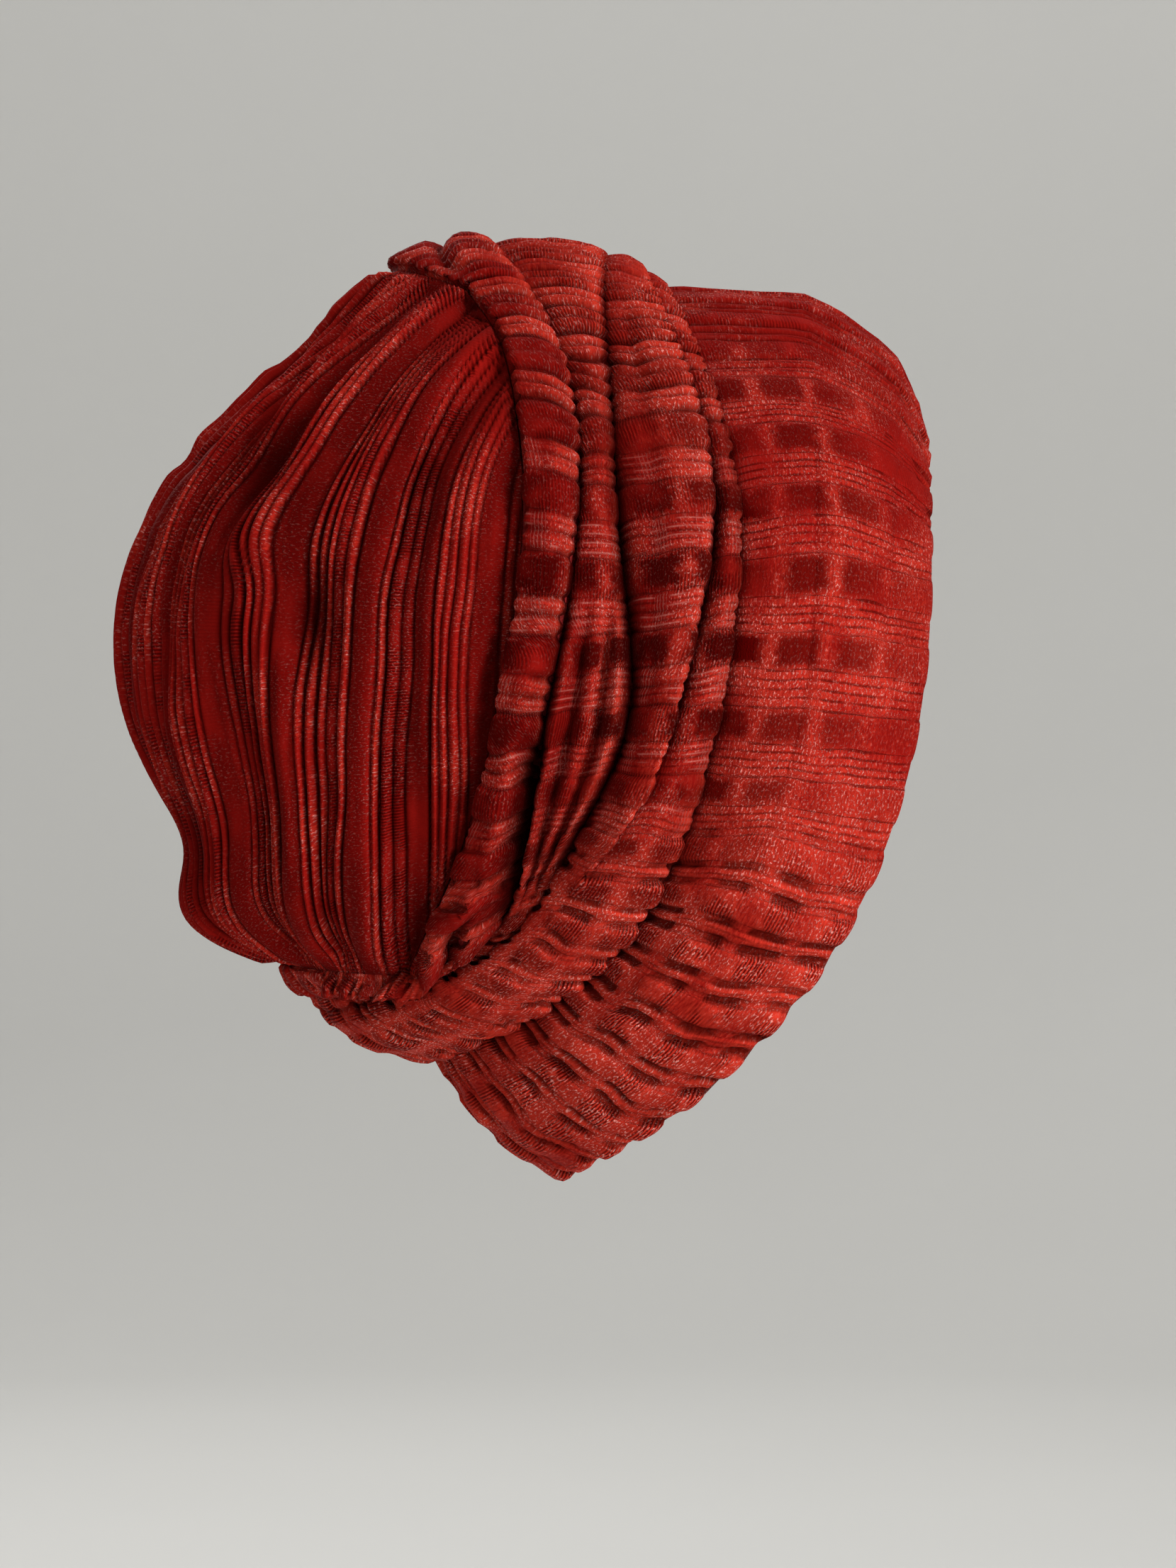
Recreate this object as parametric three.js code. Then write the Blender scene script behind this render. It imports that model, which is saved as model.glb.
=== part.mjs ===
// Slouchy turban beanie of crushed velvet, as a head wears it: a draped front panel laid in
// tucks, and a ribbed crown pouch gathered behind it.
// Millimetres. +X is the wearer's front, +Y the wearer's left, +Z up. The origin is where the
// top of the head bears on the inside of the cloth.
import * as THREE from "three";

// Cloth
const WALL = 1.8;
const SEAM_GAP = 0.5;
const CLOTH_COLOUR = 0x96211f;
const CLOTH_ROUGHNESS = 0.75;

// Ribs: rise over the cloth, and the ribs of the crown from one seam to the other
const DRAPE_RIB = 0.8;
const CROWN_RIB = 1.4;
const CROWN_RIBS = 36;

// Lines of the front panel, from the hem back to the last tuck. Each is a loop through five
// stations down the right side, [x, half width, z], and the left side mirrors it.
const LINES = [
  {
    name: "hem",
    top: [57, 0, -41], upper: [56, 48, -84], side: [39, 69, -167],
    lower: [-14, 52, -234], bottom: [-48, 0, -260],
  },
  {
    name: "band_front",
    top: [49, 0, -19], upper: [45, 54, -71], side: [27, 75, -157],
    lower: [-25, 55, -227], bottom: [-60, 0, -254],
  },
  {
    name: "band_back",
    top: [21, 0, 0], upper: [22, 57, -55], side: [12, 79, -143],
    lower: [-35, 57, -214], bottom: [-74, 0, -242],
  },
  {
    name: "front_tuck",
    top: [-21, 0, 3], upper: [-4, 55, -43], side: [-5, 78, -126],
    lower: [-45, 56, -199], bottom: [-88, 0, -225],
  },
  {
    name: "wide_tuck",
    top: [-26, 0, 7], upper: [-10, 57, -39], side: [-15, 81, -123],
    lower: [-59, 61, -198], bottom: [-103, 0, -222],
  },
  {
    name: "back_tuck",
    top: [-38, 0, 12], upper: [-35, 56, -35], side: [-31, 80, -115],
    lower: [-66, 56, -187], bottom: [-121, 0, -211],
  },
  {
    name: "roll_tuck",
    top: [-71, 0, 15], upper: [-47, 55, -31], side: [-47, 78, -111],
    lower: [-68, 54, -187], bottom: [-126, 0, -206],
  },
];

// Folds, one for each strip between a line and the next: how high the cloth stands at the five
// stations, where the crest lies across the strip, and the steps that the strip is cut in.
const FOLDS = [
  { name: "hem_band", heights: [0.8, 1, 1, 1, 1], crest: 0.5, steps: 2 },
  { name: "brow_band", heights: [2.5, 2, 1.5, 1, 1], crest: 0.5, steps: 3 },
  { name: "back_band", heights: [0.5, 2, 2, 1, 1], crest: 0.5, steps: 3 },
  { name: "front_fold", heights: [1.5, 3, 4.5, 3.5, 2], crest: 0.5, steps: 4 },
  { name: "wide_fold", heights: [2.5, 7, 8.5, 6, 6.5], crest: 0.38, steps: 6 },
  { name: "back_fold", heights: [3.5, 5, 5, 1, 1.5], crest: 0.4, steps: 5 },
  { name: "roll", heights: [7.5, 9, 9, 6, 3], crest: 0.5, steps: 6 },
];
const FOLD_SHARPNESS = 0.65;
const FOLD_SQUEEZE = 0.07;

// Crown sections from the top gather down to the lower edge: the point on the crown seam, the
// half width there, and the point on the back of the pouch.
const CROWN_SECTIONS = [
  { seamX: -77, seamZ: -2, halfWidth: 36, backX: -100, backZ: 7 },
  { seamX: -67, seamZ: -19, halfWidth: 54, backX: -119, backZ: -11 },
  { seamX: -62, seamZ: -42, halfWidth: 66, backX: -143, backZ: -33 },
  { seamX: -60, seamZ: -67, halfWidth: 73, backX: -165, backZ: -58 },
  { seamX: -62, seamZ: -93, halfWidth: 75, backX: -178, backZ: -88 },
  { seamX: -66, seamZ: -117, halfWidth: 74, backX: -178, backZ: -121 },
  { seamX: -71, seamZ: -141, halfWidth: 70, backX: -167, backZ: -152 },
  { seamX: -79, seamZ: -166, halfWidth: 62, backX: -160, backZ: -182 },
  { seamX: -94, seamZ: -199, halfWidth: 44, backX: -131, backZ: -197 },
];

// Dents of the slack pouch: how far down and how far round from the back each one lies (parts of
// the whole), its depth, and how far it spreads.
const DENTS = [
  { down: 0.34, round: 0.44, depth: 5, spreadDown: 0.08, spreadRound: 0.12 },
  { down: 0.52, round: 0.68, depth: 4, spreadDown: 0.07, spreadRound: 0.1 },
  { down: 0.36, round: 0.78, depth: 3, spreadDown: 0.1, spreadRound: 0.09 },
  { down: 0.8, round: 0.05, depth: 5, spreadDown: 0.05, spreadRound: 0.3 },
];

// Where the loop round the head passes the corners of the crown seam
const GATHER_ANGLE = (25 * Math.PI) / 180;
const CORNER_ANGLE = (150 * Math.PI) / 180;

// Steps of the facets
const EDGE_STEPS = 9;
const SEAM_STEPS = 20;
const LINING_RATIO = 2;
const ANGLE_STEP = 0.02;

const QUARTER = Math.PI / 2;
const STATION_ANGLE = Math.PI / 4;
const STATION_NAMES = ["top", "upper", "side", "lower", "bottom"];

// Smooth even curve through five values a station apart, from the top to the bottom
function cosineThrough(values, angle) {
  const last = values.length - 1;
  let sum = 0;
  for (let k = 0; k <= last; k += 1) {
    let part = 0;
    for (let j = 0; j <= last; j += 1) {
      const weight = j === 0 || j === last ? 0.5 : 1;
      part += weight * values[j] * Math.cos(k * j * STATION_ANGLE);
    }
    const share = k === 0 || k === last ? 1 / last : 2 / last;
    sum += share * part * Math.cos(k * angle);
  }
  return sum;
}

// Smooth odd curve through five values of which the first and the last are zero
function sineThrough(values, angle) {
  const last = values.length - 1;
  let sum = 0;
  for (let k = 1; k < last; k += 1) {
    let part = 0;
    for (let j = 1; j < last; j += 1) {
      part += values[j] * Math.sin(k * j * STATION_ANGLE);
    }
    sum += (2 / last) * part * Math.sin(k * angle);
  }
  return sum;
}

const SEAM_CURVE = new THREE.CatmullRomCurve3(
  CROWN_SECTIONS.map((row) => new THREE.Vector3(row.seamX, row.halfWidth, row.seamZ)),
  false,
  "catmullrom",
);
const BACK_CURVE = new THREE.CatmullRomCurve3(
  CROWN_SECTIONS.map((row) => new THREE.Vector3(row.backX, 0, row.backZ)),
  false,
  "catmullrom",
);

// Crown without ribs or dents: down runs 0 to 1, round runs -1 (left seam) to 1 (right seam)
function smoothCrown(down, round) {
  const seam = SEAM_CURVE.getPoint(down);
  const back = BACK_CURVE.getPoint(down);
  const towardsBack = Math.cos(round * QUARTER);
  return new THREE.Vector3(
    seam.x + (back.x - seam.x) * towardsBack,
    -seam.y * Math.sin(round * QUARTER),
    seam.z + (back.z - seam.z) * towardsBack,
  );
}

// Place on the crown of a point of its edge, by the angle of the loop round the head
function seamPlace(angle) {
  const turn = Math.abs(angle);
  const hand = angle < 0 ? -1 : 1;
  if (turn < GATHER_ANGLE) {
    return { down: 0, round: (hand * turn) / GATHER_ANGLE };
  }
  if (turn > CORNER_ANGLE) {
    return { down: 1, round: (hand * (Math.PI - turn)) / (Math.PI - CORNER_ANGLE) };
  }
  return { down: (turn - GATHER_ANGLE) / (CORNER_ANGLE - GATHER_ANGLE), round: hand };
}

// Angles run from the top over the right side to the bottom, and back up the left side
function wrap(angle) {
  return angle - 2 * Math.PI * Math.round(angle / (2 * Math.PI));
}

// Point of a line; the line after the last row of the table is the crown seam
function linePoint(index, angle) {
  const turned = wrap(angle);
  if (index === LINES.length) {
    const place = seamPlace(turned);
    return smoothCrown(place.down, place.round);
  }
  const stations = STATION_NAMES.map((name) => LINES[index][name]);
  return new THREE.Vector3(
    cosineThrough(stations.map((station) => station[0]), turned),
    -sineThrough(stations.map((station) => station[1]), turned),
    cosineThrough(stations.map((station) => station[2]), turned),
  );
}

// Direction out of the cloth at a line
function lineNormal(index, angle) {
  const ahead = linePoint(index, angle + ANGLE_STEP);
  const along = ahead.sub(linePoint(index, angle - ANGLE_STEP));
  const towardsBack = linePoint(Math.min(index + 1, LINES.length), angle);
  const across = towardsBack.sub(linePoint(Math.max(index - 1, 0), angle));
  return across.cross(along).normalize();
}

// Share of a fold's height at a place across its strip
function foldProfile(fold, across) {
  const skewed = across ** (Math.log(0.5) / Math.log(fold.crest));
  return Math.max(Math.sin(Math.PI * skewed), 0) ** FOLD_SHARPNESS;
}

// Point of the front panel, with rib as a rise over the cloth; the lining lies a wall's depth below
function drapePoint(strip, across, angle, rib, lining) {
  const front = linePoint(strip, angle);
  const back = linePoint(strip + 1, angle);
  const width = front.distanceTo(back);
  const reach = strip === LINES.length - 1 ? 1 - SEAM_GAP / width : 1;
  const squeeze = lining ? FOLD_SQUEEZE * Math.sin(2 * Math.PI * across) : 0;
  const normal = lineNormal(strip, angle).lerp(lineNormal(strip + 1, angle), across).normalize();
  const fold = FOLDS[strip];
  const height = cosineThrough(fold.heights, wrap(angle)) * foldProfile(fold, across);
  const rise = lining ? height - WALL : height + rib;
  return front.lerp(back, (across + squeeze) * reach).addScaledVector(normal, rise);
}

// How deep the dents press the crown at a place; the two sides of the pouch are alike
function dentDepth(down, round) {
  return DENTS.reduce((sum, dent) => {
    const alongDown = (down - dent.down) / dent.spreadDown;
    const alongRound = (Math.abs(round) - dent.round) / dent.spreadRound;
    return sum + dent.depth * Math.exp(-alongDown * alongDown - alongRound * alongRound);
  }, 0);
}

// Share of the relief that is left near the edges of the crown, where it is sewn flat
function crownFade(down, round) {
  const edge = Math.min(down, 1 - down, 1 - Math.abs(round));
  return THREE.MathUtils.smoothstep(edge, 0, 0.12);
}

// Angle of the loop round the head at a point of the crown's edge
function seamAngle(down, round) {
  const hand = round < 0 ? -1 : 1;
  if (down <= 0) {
    return round * GATHER_ANGLE;
  }
  if (down >= 1) {
    return hand * (Math.PI - Math.abs(round) * (Math.PI - CORNER_ANGLE));
  }
  return hand * (GATHER_ANGLE + down * (CORNER_ANGLE - GATHER_ANGLE));
}

// Direction out of the crown, which at its edge is that of the front panel's seam
function crownNormal(down, round) {
  const onEdge = down <= 0 || down >= 1 || Math.abs(round) >= 1;
  if (onEdge) {
    return lineNormal(LINES.length, seamAngle(down, round));
  }
  const alongDown = smoothCrown(Math.min(down + ANGLE_STEP, 1), round);
  alongDown.sub(smoothCrown(Math.max(down - ANGLE_STEP, 0), round));
  const alongRound = smoothCrown(down, round + ANGLE_STEP).sub(smoothCrown(down, round - ANGLE_STEP));
  return alongDown.cross(alongRound).normalize();
}

// Point of the crown; the lining lies a wall's depth below the cloth and has no ribs
function crownPoint(down, round, lining) {
  const fade = crownFade(down, round);
  const rib = CROWN_RIB * 0.5 * (1 + Math.cos(CROWN_RIBS * Math.PI * (round + 1)));
  const relief = -dentDepth(down, round) * fade + (lining ? -WALL : rib * fade);
  return smoothCrown(down, round).addScaledVector(crownNormal(down, round), relief);
}

// A wall of cloth: grids of points for the outside and the lining, joined along their rims
class Wall {
  constructor() {
    this.positions = [];
    this.faces = [];
  }

  // Adds rows of points and returns their numbers; a closed row ends on its first point
  addGrid(rows, closed) {
    return rows.map((row) => {
      const numbers = row.map((point) => {
        this.positions.push(point.x, point.y, point.z);
        return this.positions.length / 3 - 1;
      });
      return closed ? [...numbers, numbers[0]] : numbers;
    });
  }

  // Covers a grid with triangles that face out, or in for the lining
  coverGrid(grid, lining) {
    for (let j = 0; j + 1 < grid.length; j += 1) {
      for (let i = 0; i + 1 < grid[j].length; i += 1) {
        const corners = [grid[j][i], grid[j + 1][i], grid[j + 1][i + 1], grid[j][i + 1]];
        if (lining) {
          corners.reverse();
        }
        this.faces.push(corners[0], corners[1], corners[3], corners[1], corners[2], corners[3]);
      }
    }
  }

  // Joins an outer edge to the lining's edge, which has a point for every `ratio` outer steps
  stitch(outer, lining, ratio) {
    const middle = Math.floor(ratio / 2);
    for (let k = 0; k + 1 < lining.length; k += 1) {
      for (let i = 0; i < ratio; i += 1) {
        const start = outer[k * ratio + i];
        const end = outer[k * ratio + i + 1];
        this.faces.push(start, end, i < middle ? lining[k] : lining[k + 1]);
      }
      this.faces.push(outer[k * ratio + middle], lining[k + 1], lining[k]);
    }
  }

  // The finished mesh, in its own cloth material
  mesh(name) {
    const geometry = new THREE.BufferGeometry();
    geometry.setAttribute("position", new THREE.Float32BufferAttribute(this.positions, 3));
    geometry.setIndex(this.faces);
    geometry.computeVertexNormals();
    const material = new THREE.MeshStandardMaterial({
      color: CLOTH_COLOUR,
      roughness: CLOTH_ROUGHNESS,
      metalness: 0,
    });
    const mesh = new THREE.Mesh(geometry, material);
    mesh.name = name;
    return mesh;
  }
}

// Whole numbers from 0 to count
function steps(count) {
  return Array.from({ length: count + 1 }, (_, i) => i);
}

// Angles round the head, set where the crown's edge has its points
function loopAngles() {
  const quarterTop = steps(EDGE_STEPS).map((i) => seamAngle(0, i / EDGE_STEPS));
  const side = steps(SEAM_STEPS).slice(1).map((i) => seamAngle(i / SEAM_STEPS, 1));
  const foot = steps(EDGE_STEPS).slice(1).map((i) => seamAngle(1, 1 - i / EDGE_STEPS));
  const right = [...quarterTop, ...side, ...foot];
  const left = right.slice(1, -1).reverse().map((angle) => -angle);
  return [...right, ...left];
}

// Places across the front panel: strip and share of it, closer together at the valleys
function drapeRows() {
  const rows = FOLDS.flatMap((fold, strip) =>
    steps(fold.steps).slice(0, -1).map((i) => ({
      strip,
      across: 0.5 - 0.5 * Math.cos((Math.PI * i) / fold.steps),
    })),
  );
  return [...rows, { strip: FOLDS.length - 1, across: 1 }];
}

// Front panel: band, tucks and roll in one cloth
function frontDrape() {
  const wall = new Wall();
  const angles = loopAngles();
  const rows = drapeRows();
  const outerRows = rows.map(({ strip, across }, j) =>
    angles.map((angle, i) => {
      const atSeam = j === rows.length - 1;
      const rib = atSeam || i % 2 ? 0 : DRAPE_RIB;
      return drapePoint(strip, across, angle, rib, false);
    }),
  );
  const liningRows = rows.map(({ strip, across }) =>
    angles
      .filter((_, i) => i % LINING_RATIO === 0)
      .map((angle) => drapePoint(strip, across, angle, 0, true)),
  );
  const outer = wall.addGrid(outerRows, true);
  const lining = wall.addGrid(liningRows, true);
  wall.coverGrid(outer, false);
  wall.coverGrid(lining, true);
  wall.stitch(outer[0], lining[0], LINING_RATIO);
  wall.stitch(outer.at(-1).toReversed(), lining.at(-1).toReversed(), LINING_RATIO);
  return wall.mesh("front_drape");
}

// Crown pouch: ribs down the cloth, sewn along the roll
function crown() {
  const wall = new Wall();
  const columns = 2 * CROWN_RIBS;
  const liningColumns = columns / LINING_RATIO;
  const gridRows = (count, lining) =>
    steps(SEAM_STEPS).map((k) =>
      steps(count).map((j) => crownPoint(k / SEAM_STEPS, (2 * j) / count - 1, lining)),
    );
  const outer = wall.addGrid(gridRows(columns, false), false);
  const lining = wall.addGrid(gridRows(liningColumns, true), false);
  wall.coverGrid(outer, false);
  wall.coverGrid(lining, true);
  wall.stitch(outer[0], lining[0], LINING_RATIO);
  wall.stitch(outer.at(-1).toReversed(), lining.at(-1).toReversed(), LINING_RATIO);
  const leftEdge = (grid) => grid.map((row) => row[0]).toReversed();
  const rightEdge = (grid) => grid.map((row) => row.at(-1));
  wall.stitch(leftEdge(outer), leftEdge(lining), 1);
  wall.stitch(rightEdge(outer), rightEdge(lining), 1);
  return wall.mesh("crown");
}

const beanie = new THREE.Group();
beanie.add(frontDrape(), crown());

export default beanie;
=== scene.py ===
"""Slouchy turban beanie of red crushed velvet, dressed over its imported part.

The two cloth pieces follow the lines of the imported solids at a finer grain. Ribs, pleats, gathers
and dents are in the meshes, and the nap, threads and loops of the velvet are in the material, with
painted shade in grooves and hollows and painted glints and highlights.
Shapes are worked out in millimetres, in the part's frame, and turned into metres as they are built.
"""

import logging
import math
from dataclasses import dataclass, field
from enum import Enum, IntEnum
from typing import Any, Mapping, Sequence, Union

import bpy
import numpy as np
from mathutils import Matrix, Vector


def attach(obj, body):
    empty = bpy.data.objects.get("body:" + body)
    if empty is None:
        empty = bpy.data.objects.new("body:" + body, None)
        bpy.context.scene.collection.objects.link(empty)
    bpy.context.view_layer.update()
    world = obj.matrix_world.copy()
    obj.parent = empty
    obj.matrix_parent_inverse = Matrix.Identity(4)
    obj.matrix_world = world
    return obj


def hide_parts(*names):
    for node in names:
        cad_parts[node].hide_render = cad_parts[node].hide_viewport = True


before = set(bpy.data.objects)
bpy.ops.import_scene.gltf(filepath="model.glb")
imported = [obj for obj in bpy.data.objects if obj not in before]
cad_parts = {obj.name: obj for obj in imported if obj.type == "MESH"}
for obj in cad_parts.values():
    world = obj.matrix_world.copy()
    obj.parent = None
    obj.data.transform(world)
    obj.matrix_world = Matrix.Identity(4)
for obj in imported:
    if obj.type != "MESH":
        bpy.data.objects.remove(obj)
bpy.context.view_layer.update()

LOG = logging.getLogger("beanie")
MILLIMETRE = 0.001

Array = np.ndarray
Station = tuple[float, float, float]
Colour = tuple[float, float, float]
Number = Union["Wire", float, int]
Values = Union[np.ndarray, float]

# Two sizes or a range, ends of a smooth step, a window with its soft ends, and a bell's centre and spread
Span = tuple[float, float]
Ramp = tuple[float, float]
Stretch = tuple[float, float, float]
Bell = tuple[float, float]


# Curves and noise


def even_curve(values: Sequence[float], turn: Array) -> Array:
    """Smooth even curve through values a station apart, from the top to the bottom of a loop.

    Args:
        values: Five values, at 0, 45, 90, 135 and 180 degrees.
        turn: Angles in radians.

    Returns:
        The curve at those angles.
    """
    last = len(values) - 1
    order = np.arange(last + 1)
    weight = np.where((order == 0) | (order == last), 0.5, 1.0)
    parts = np.cos(np.outer(order, order) * math.pi / last) @ (weight * np.asarray(values, float))
    return np.cos(np.multiply.outer(turn, order)) @ (parts * weight * 2.0 / last)


def odd_curve(values: Sequence[float], turn: Array) -> Array:
    """Smooth odd curve through values a station apart, which starts and ends at zero.

    Args:
        values: Five values, at 0, 45, 90, 135 and 180 degrees.
        turn: Angles in radians.

    Returns:
        The curve at those angles.
    """
    last = len(values) - 1
    order = np.arange(last + 1)
    parts = np.sin(np.outer(order, order) * math.pi / last) @ np.asarray(values, float)
    return np.sin(np.multiply.outer(turn, order)) @ (parts * 2.0 / last)


def catmull_rom(rows: Array, share: Array) -> Array:
    """Smooth curve through evenly spaced rows of values.

    Args:
        rows: One row of values for each knot.
        share: Places along the curve, from 0 to 1.

    Returns:
        One row of values for each place.
    """
    spans = len(rows) - 1
    along = np.clip(share, 0.0, 1.0) * spans
    knot = np.minimum(along.astype(int), spans - 1)
    part = (along - knot)[..., None]
    ends = np.vstack([2 * rows[0] - rows[1], rows, 2 * rows[-1] - rows[-2]])
    a, b, c, d = (ends[knot + k] for k in range(4))
    square = part * part
    cube = square * part
    return 0.5 * (
        2 * b + (c - a) * part + (2 * a - 5 * b + 4 * c - d) * square + (3 * b - a - 3 * c + d) * cube
    )


def smooth_step(value: Values, low: float, high: float) -> Values:
    """Zero below low and one above high, with a smooth rise between them."""
    part = np.clip((value - low) / (high - low), 0.0, 1.0)
    return part * part * (3.0 - 2.0 * part)


def window(value: Values, start: float, end: float, soft: float) -> Values:
    """One between start and end, falling smoothly to zero over `soft` outside them."""
    return smooth_step(value, start - soft, start) * (1.0 - smooth_step(value, end, end + soft))


def bump(value: Values, centre: float, spread: Values) -> Values:
    """A bell of height one at centre."""
    return np.exp(-(((value - centre) / spread) ** 2))


def unit(vectors: Array) -> Array:
    """Vectors of length one along the last axis."""
    return vectors / np.maximum(np.linalg.norm(vectors, axis=-1, keepdims=True), 1e-9)


class SmoothNoise:
    """Seeded smooth noise over a plane, from about -1 to 1, which repeats after `size` cells."""

    def __init__(self, seed: int, size: int = 64) -> None:
        """Fills the lattice from the seed."""
        self.size = size
        self.lattice = np.random.default_rng(seed).uniform(-1.0, 1.0, (size, size))

    def __call__(self, u: Array, v: Array) -> Array:
        """Noise at places given in cells.

        Args:
            u: First coordinate.
            v: Second coordinate.

        Returns:
            The noise, in the shape that u and v share.
        """
        u, v = np.broadcast_arrays(np.asarray(u, float), np.asarray(v, float))
        u0, v0 = np.floor(u).astype(int), np.floor(v).astype(int)
        fu, fv = u - u0, v - v0
        fu, fv = (f * f * f * (f * (f * 6 - 15) + 10) for f in (fu, fv))

        def corner(du: int, dv: int) -> Array:
            """Lattice values at one corner of each cell."""
            return self.lattice[(u0 + du) % self.size, (v0 + dv) % self.size]

        low = corner(0, 0) * (1 - fu) + corner(1, 0) * fu
        high = corner(0, 1) * (1 - fu) + corner(1, 1) * fu
        return low * (1 - fv) + high * fv


def noise_layers(seed: int, count: int = 6) -> list[SmoothNoise]:
    """Noises for ripples to take, each from a seed of its own."""
    return [SmoothNoise(seed + k) for k in range(count)]


@dataclass(frozen=True)
class Ripple:
    """Seeded waves of the cloth: which noise they take, their height and their lengths in millimetres."""

    layer: int
    height: float
    across: float
    along: float
    shift: float = 0.0

    def over(self, noise: Sequence[SmoothNoise], u: Array, v: Array) -> Array:
        """Height of the waves at places across and along the ribs."""
        return self.height * noise[self.layer](u / self.across + self.shift, v / self.along)


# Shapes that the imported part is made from


class Line(IntEnum):
    """Lines of the front panel round the head, from the hem to the crown's edge."""

    HEM = 0
    BAND_FRONT = 1
    BAND_BACK = 2
    FRONT_TUCK = 3
    WIDE_TUCK = 4
    BACK_TUCK = 5
    ROLL_TUCK = 6
    SEAM = 7


class Strip(IntEnum):
    """Strips of the front panel, each behind the line of the same number."""

    HEM_BAND = 0
    BROW_BAND = 1
    BACK_BAND = 2
    FRONT_FOLD = 3
    WIDE_FOLD = 4
    BACK_FOLD = 5
    ROLL = 6


@dataclass(frozen=True)
class LoopLine:
    """A line of the front panel round the head: five stations down the right side.

    A station is (x, half width, z). At the five stations, lag is how far, in degrees, the ribs have
    slid round the head where they cross the line, and sink how deep the cloth is pulled in there.
    A shift (angle from the top, spread, x, z) moves the line between stations.
    """

    top: Station
    upper: Station
    side: Station
    lower: Station
    bottom: Station
    lag: tuple[float, ...] = (0.0, 0.0, 0.0, 0.0, 0.0)
    sink: tuple[float, ...] = (0.0, 0.0, 0.0, 0.0, 0.0)
    shift: tuple[float, float, float, float] = (0.0, 1.0, 0.0, 0.0)

    def points(self, turn: Array) -> Array:
        """Points of the line at angles from the top, positive on the right side."""
        x, y, z = zip(self.top, self.upper, self.side, self.lower, self.bottom)
        centre, spread, move_x, move_z = self.shift
        here = bump(np.degrees(np.abs(turn)), centre, spread)
        along_x = even_curve(x, turn) + move_x * here
        along_z = even_curve(z, turn) + move_z * here
        return np.stack([along_x, -odd_curve(y, turn), along_z], axis=-1)


@dataclass(frozen=True)
class Fold:
    """A strip of the front panel between two lines, and how far its cloth stands up.

    Heights are at the five stations, crest is the place of the fold's top across the strip, rows
    are the mesh rows across it, sharpness is the power of its rounding, which is full where low, and
    lip is how far its front edge hangs forward.
    """

    heights: tuple[float, ...]
    crest: float
    rows: int
    sharpness: float = 0.65
    lip: float = 0.0

    def profile(self, across: Array) -> Array:
        """Share of the height at places across the strip."""
        skewed = across ** (math.log(0.5) / math.log(self.crest))
        return np.maximum(np.sin(math.pi * skewed), 0.0) ** self.sharpness


@dataclass(frozen=True)
class CrownSection:
    """A section of the crown: its point on the seam, the half width there, and the back point."""

    seam_x: float
    seam_z: float
    half_width: float
    back_x: float
    back_z: float


@dataclass(frozen=True)
class Dent:
    """A dent of the slack pouch: its place down and round from the back, depth and spread."""

    down: float
    around: float
    depth: float
    spread_down: float
    spread_around: float


LINES = {
    Line.HEM: LoopLine(
        (57, 0, -41), (56, 48, -84), (39, 69, -167), (-14, 52, -234), (-48, 0, -260),
        lag=(0, -14, -20, -14, 0),
    ),
    Line.BAND_FRONT: LoopLine(
        (49, 0, -19), (45, 54, -71), (27, 75, -157), (-25, 55, -227), (-60, 0, -254),
        lag=(0, -10.5, -15, -10.5, 0),
    ),
    Line.BAND_BACK: LoopLine(
        (21, 0, 0), (22, 57, -55), (12, 79, -143), (-35, 57, -214), (-74, 0, -242),
        lag=(0, -6.5, -9, -6.5, 0),
    ),
    Line.FRONT_TUCK: LoopLine(
        (-21, 0, 3), (-4, 55, -43), (-5, 78, -126), (-45, 56, -199), (-88, 0, -225),
        sink=(0.8, 3.0, 4.5, 5.0, 2.5), shift=(122, 18, 3.5, -1.5),
    ),
    Line.WIDE_TUCK: LoopLine(
        (-26, 0, 7), (-10, 57, -39), (-15, 81, -123), (-59, 61, -198), (-105, 0, -222),
        lag=(0, 1.5, 2, 1.5, 0), sink=(0.8, 4.5, 3.0, -4.6, -1.5), shift=(120, 16, -8, 4),
    ),
    Line.BACK_TUCK: LoopLine(
        (-38, 0, 12), (-35, 56, -35), (-31, 80, -115), (-66, 56, -187), (-121, 0, -211),
        lag=(0, 4, 6, 4, 0), sink=(1.0, 7.0, 6.5, 3.5, 2.0), shift=(117, 14, -4.5, 1),
    ),
    Line.ROLL_TUCK: LoopLine(
        (-71, 0, 15), (-47, 55, -31), (-47, 78, -111), (-68, 54, -187), (-126, 0, -206),
        lag=(0, 6.5, 9, 6.5, 0), sink=(1.0, 3.0, 4.0, 4.0, 2.0), shift=(113, 19, -11, 0),
    ),
}
SEAM_LAG = (0.0, 8.5, 20.0, 19.0, 0.0)

FOLDS = {
    Strip.HEM_BAND: Fold((0.8, 1, 1, 1, 1), 0.5, 8),
    Strip.BROW_BAND: Fold((2.5, 2, 1.5, 1, 1), 0.5, 12),
    Strip.BACK_BAND: Fold((0.5, 2, 2, 1, 1), 0.5, 16),
    Strip.FRONT_FOLD: Fold((1.5, 3, 4.5, 3.5, 2), 0.35, 16, 0.55, 3.0),
    Strip.WIDE_FOLD: Fold((2.5, 7, 8.5, 3, 5.5), 0.34, 20, 0.55, 1.6),
    Strip.BACK_FOLD: Fold((3.5, 5, 5, 1, 1.5), 0.38, 24, 0.55),
    Strip.ROLL: Fold((5.5, 9, 9, 6, 3), 0.45, 22, 0.55, 0.8),
}
NAPE_FOLD = Fold((0, 0, 4, 7.5, 6), 0.5, 0, 0.55, 3.0)

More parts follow.
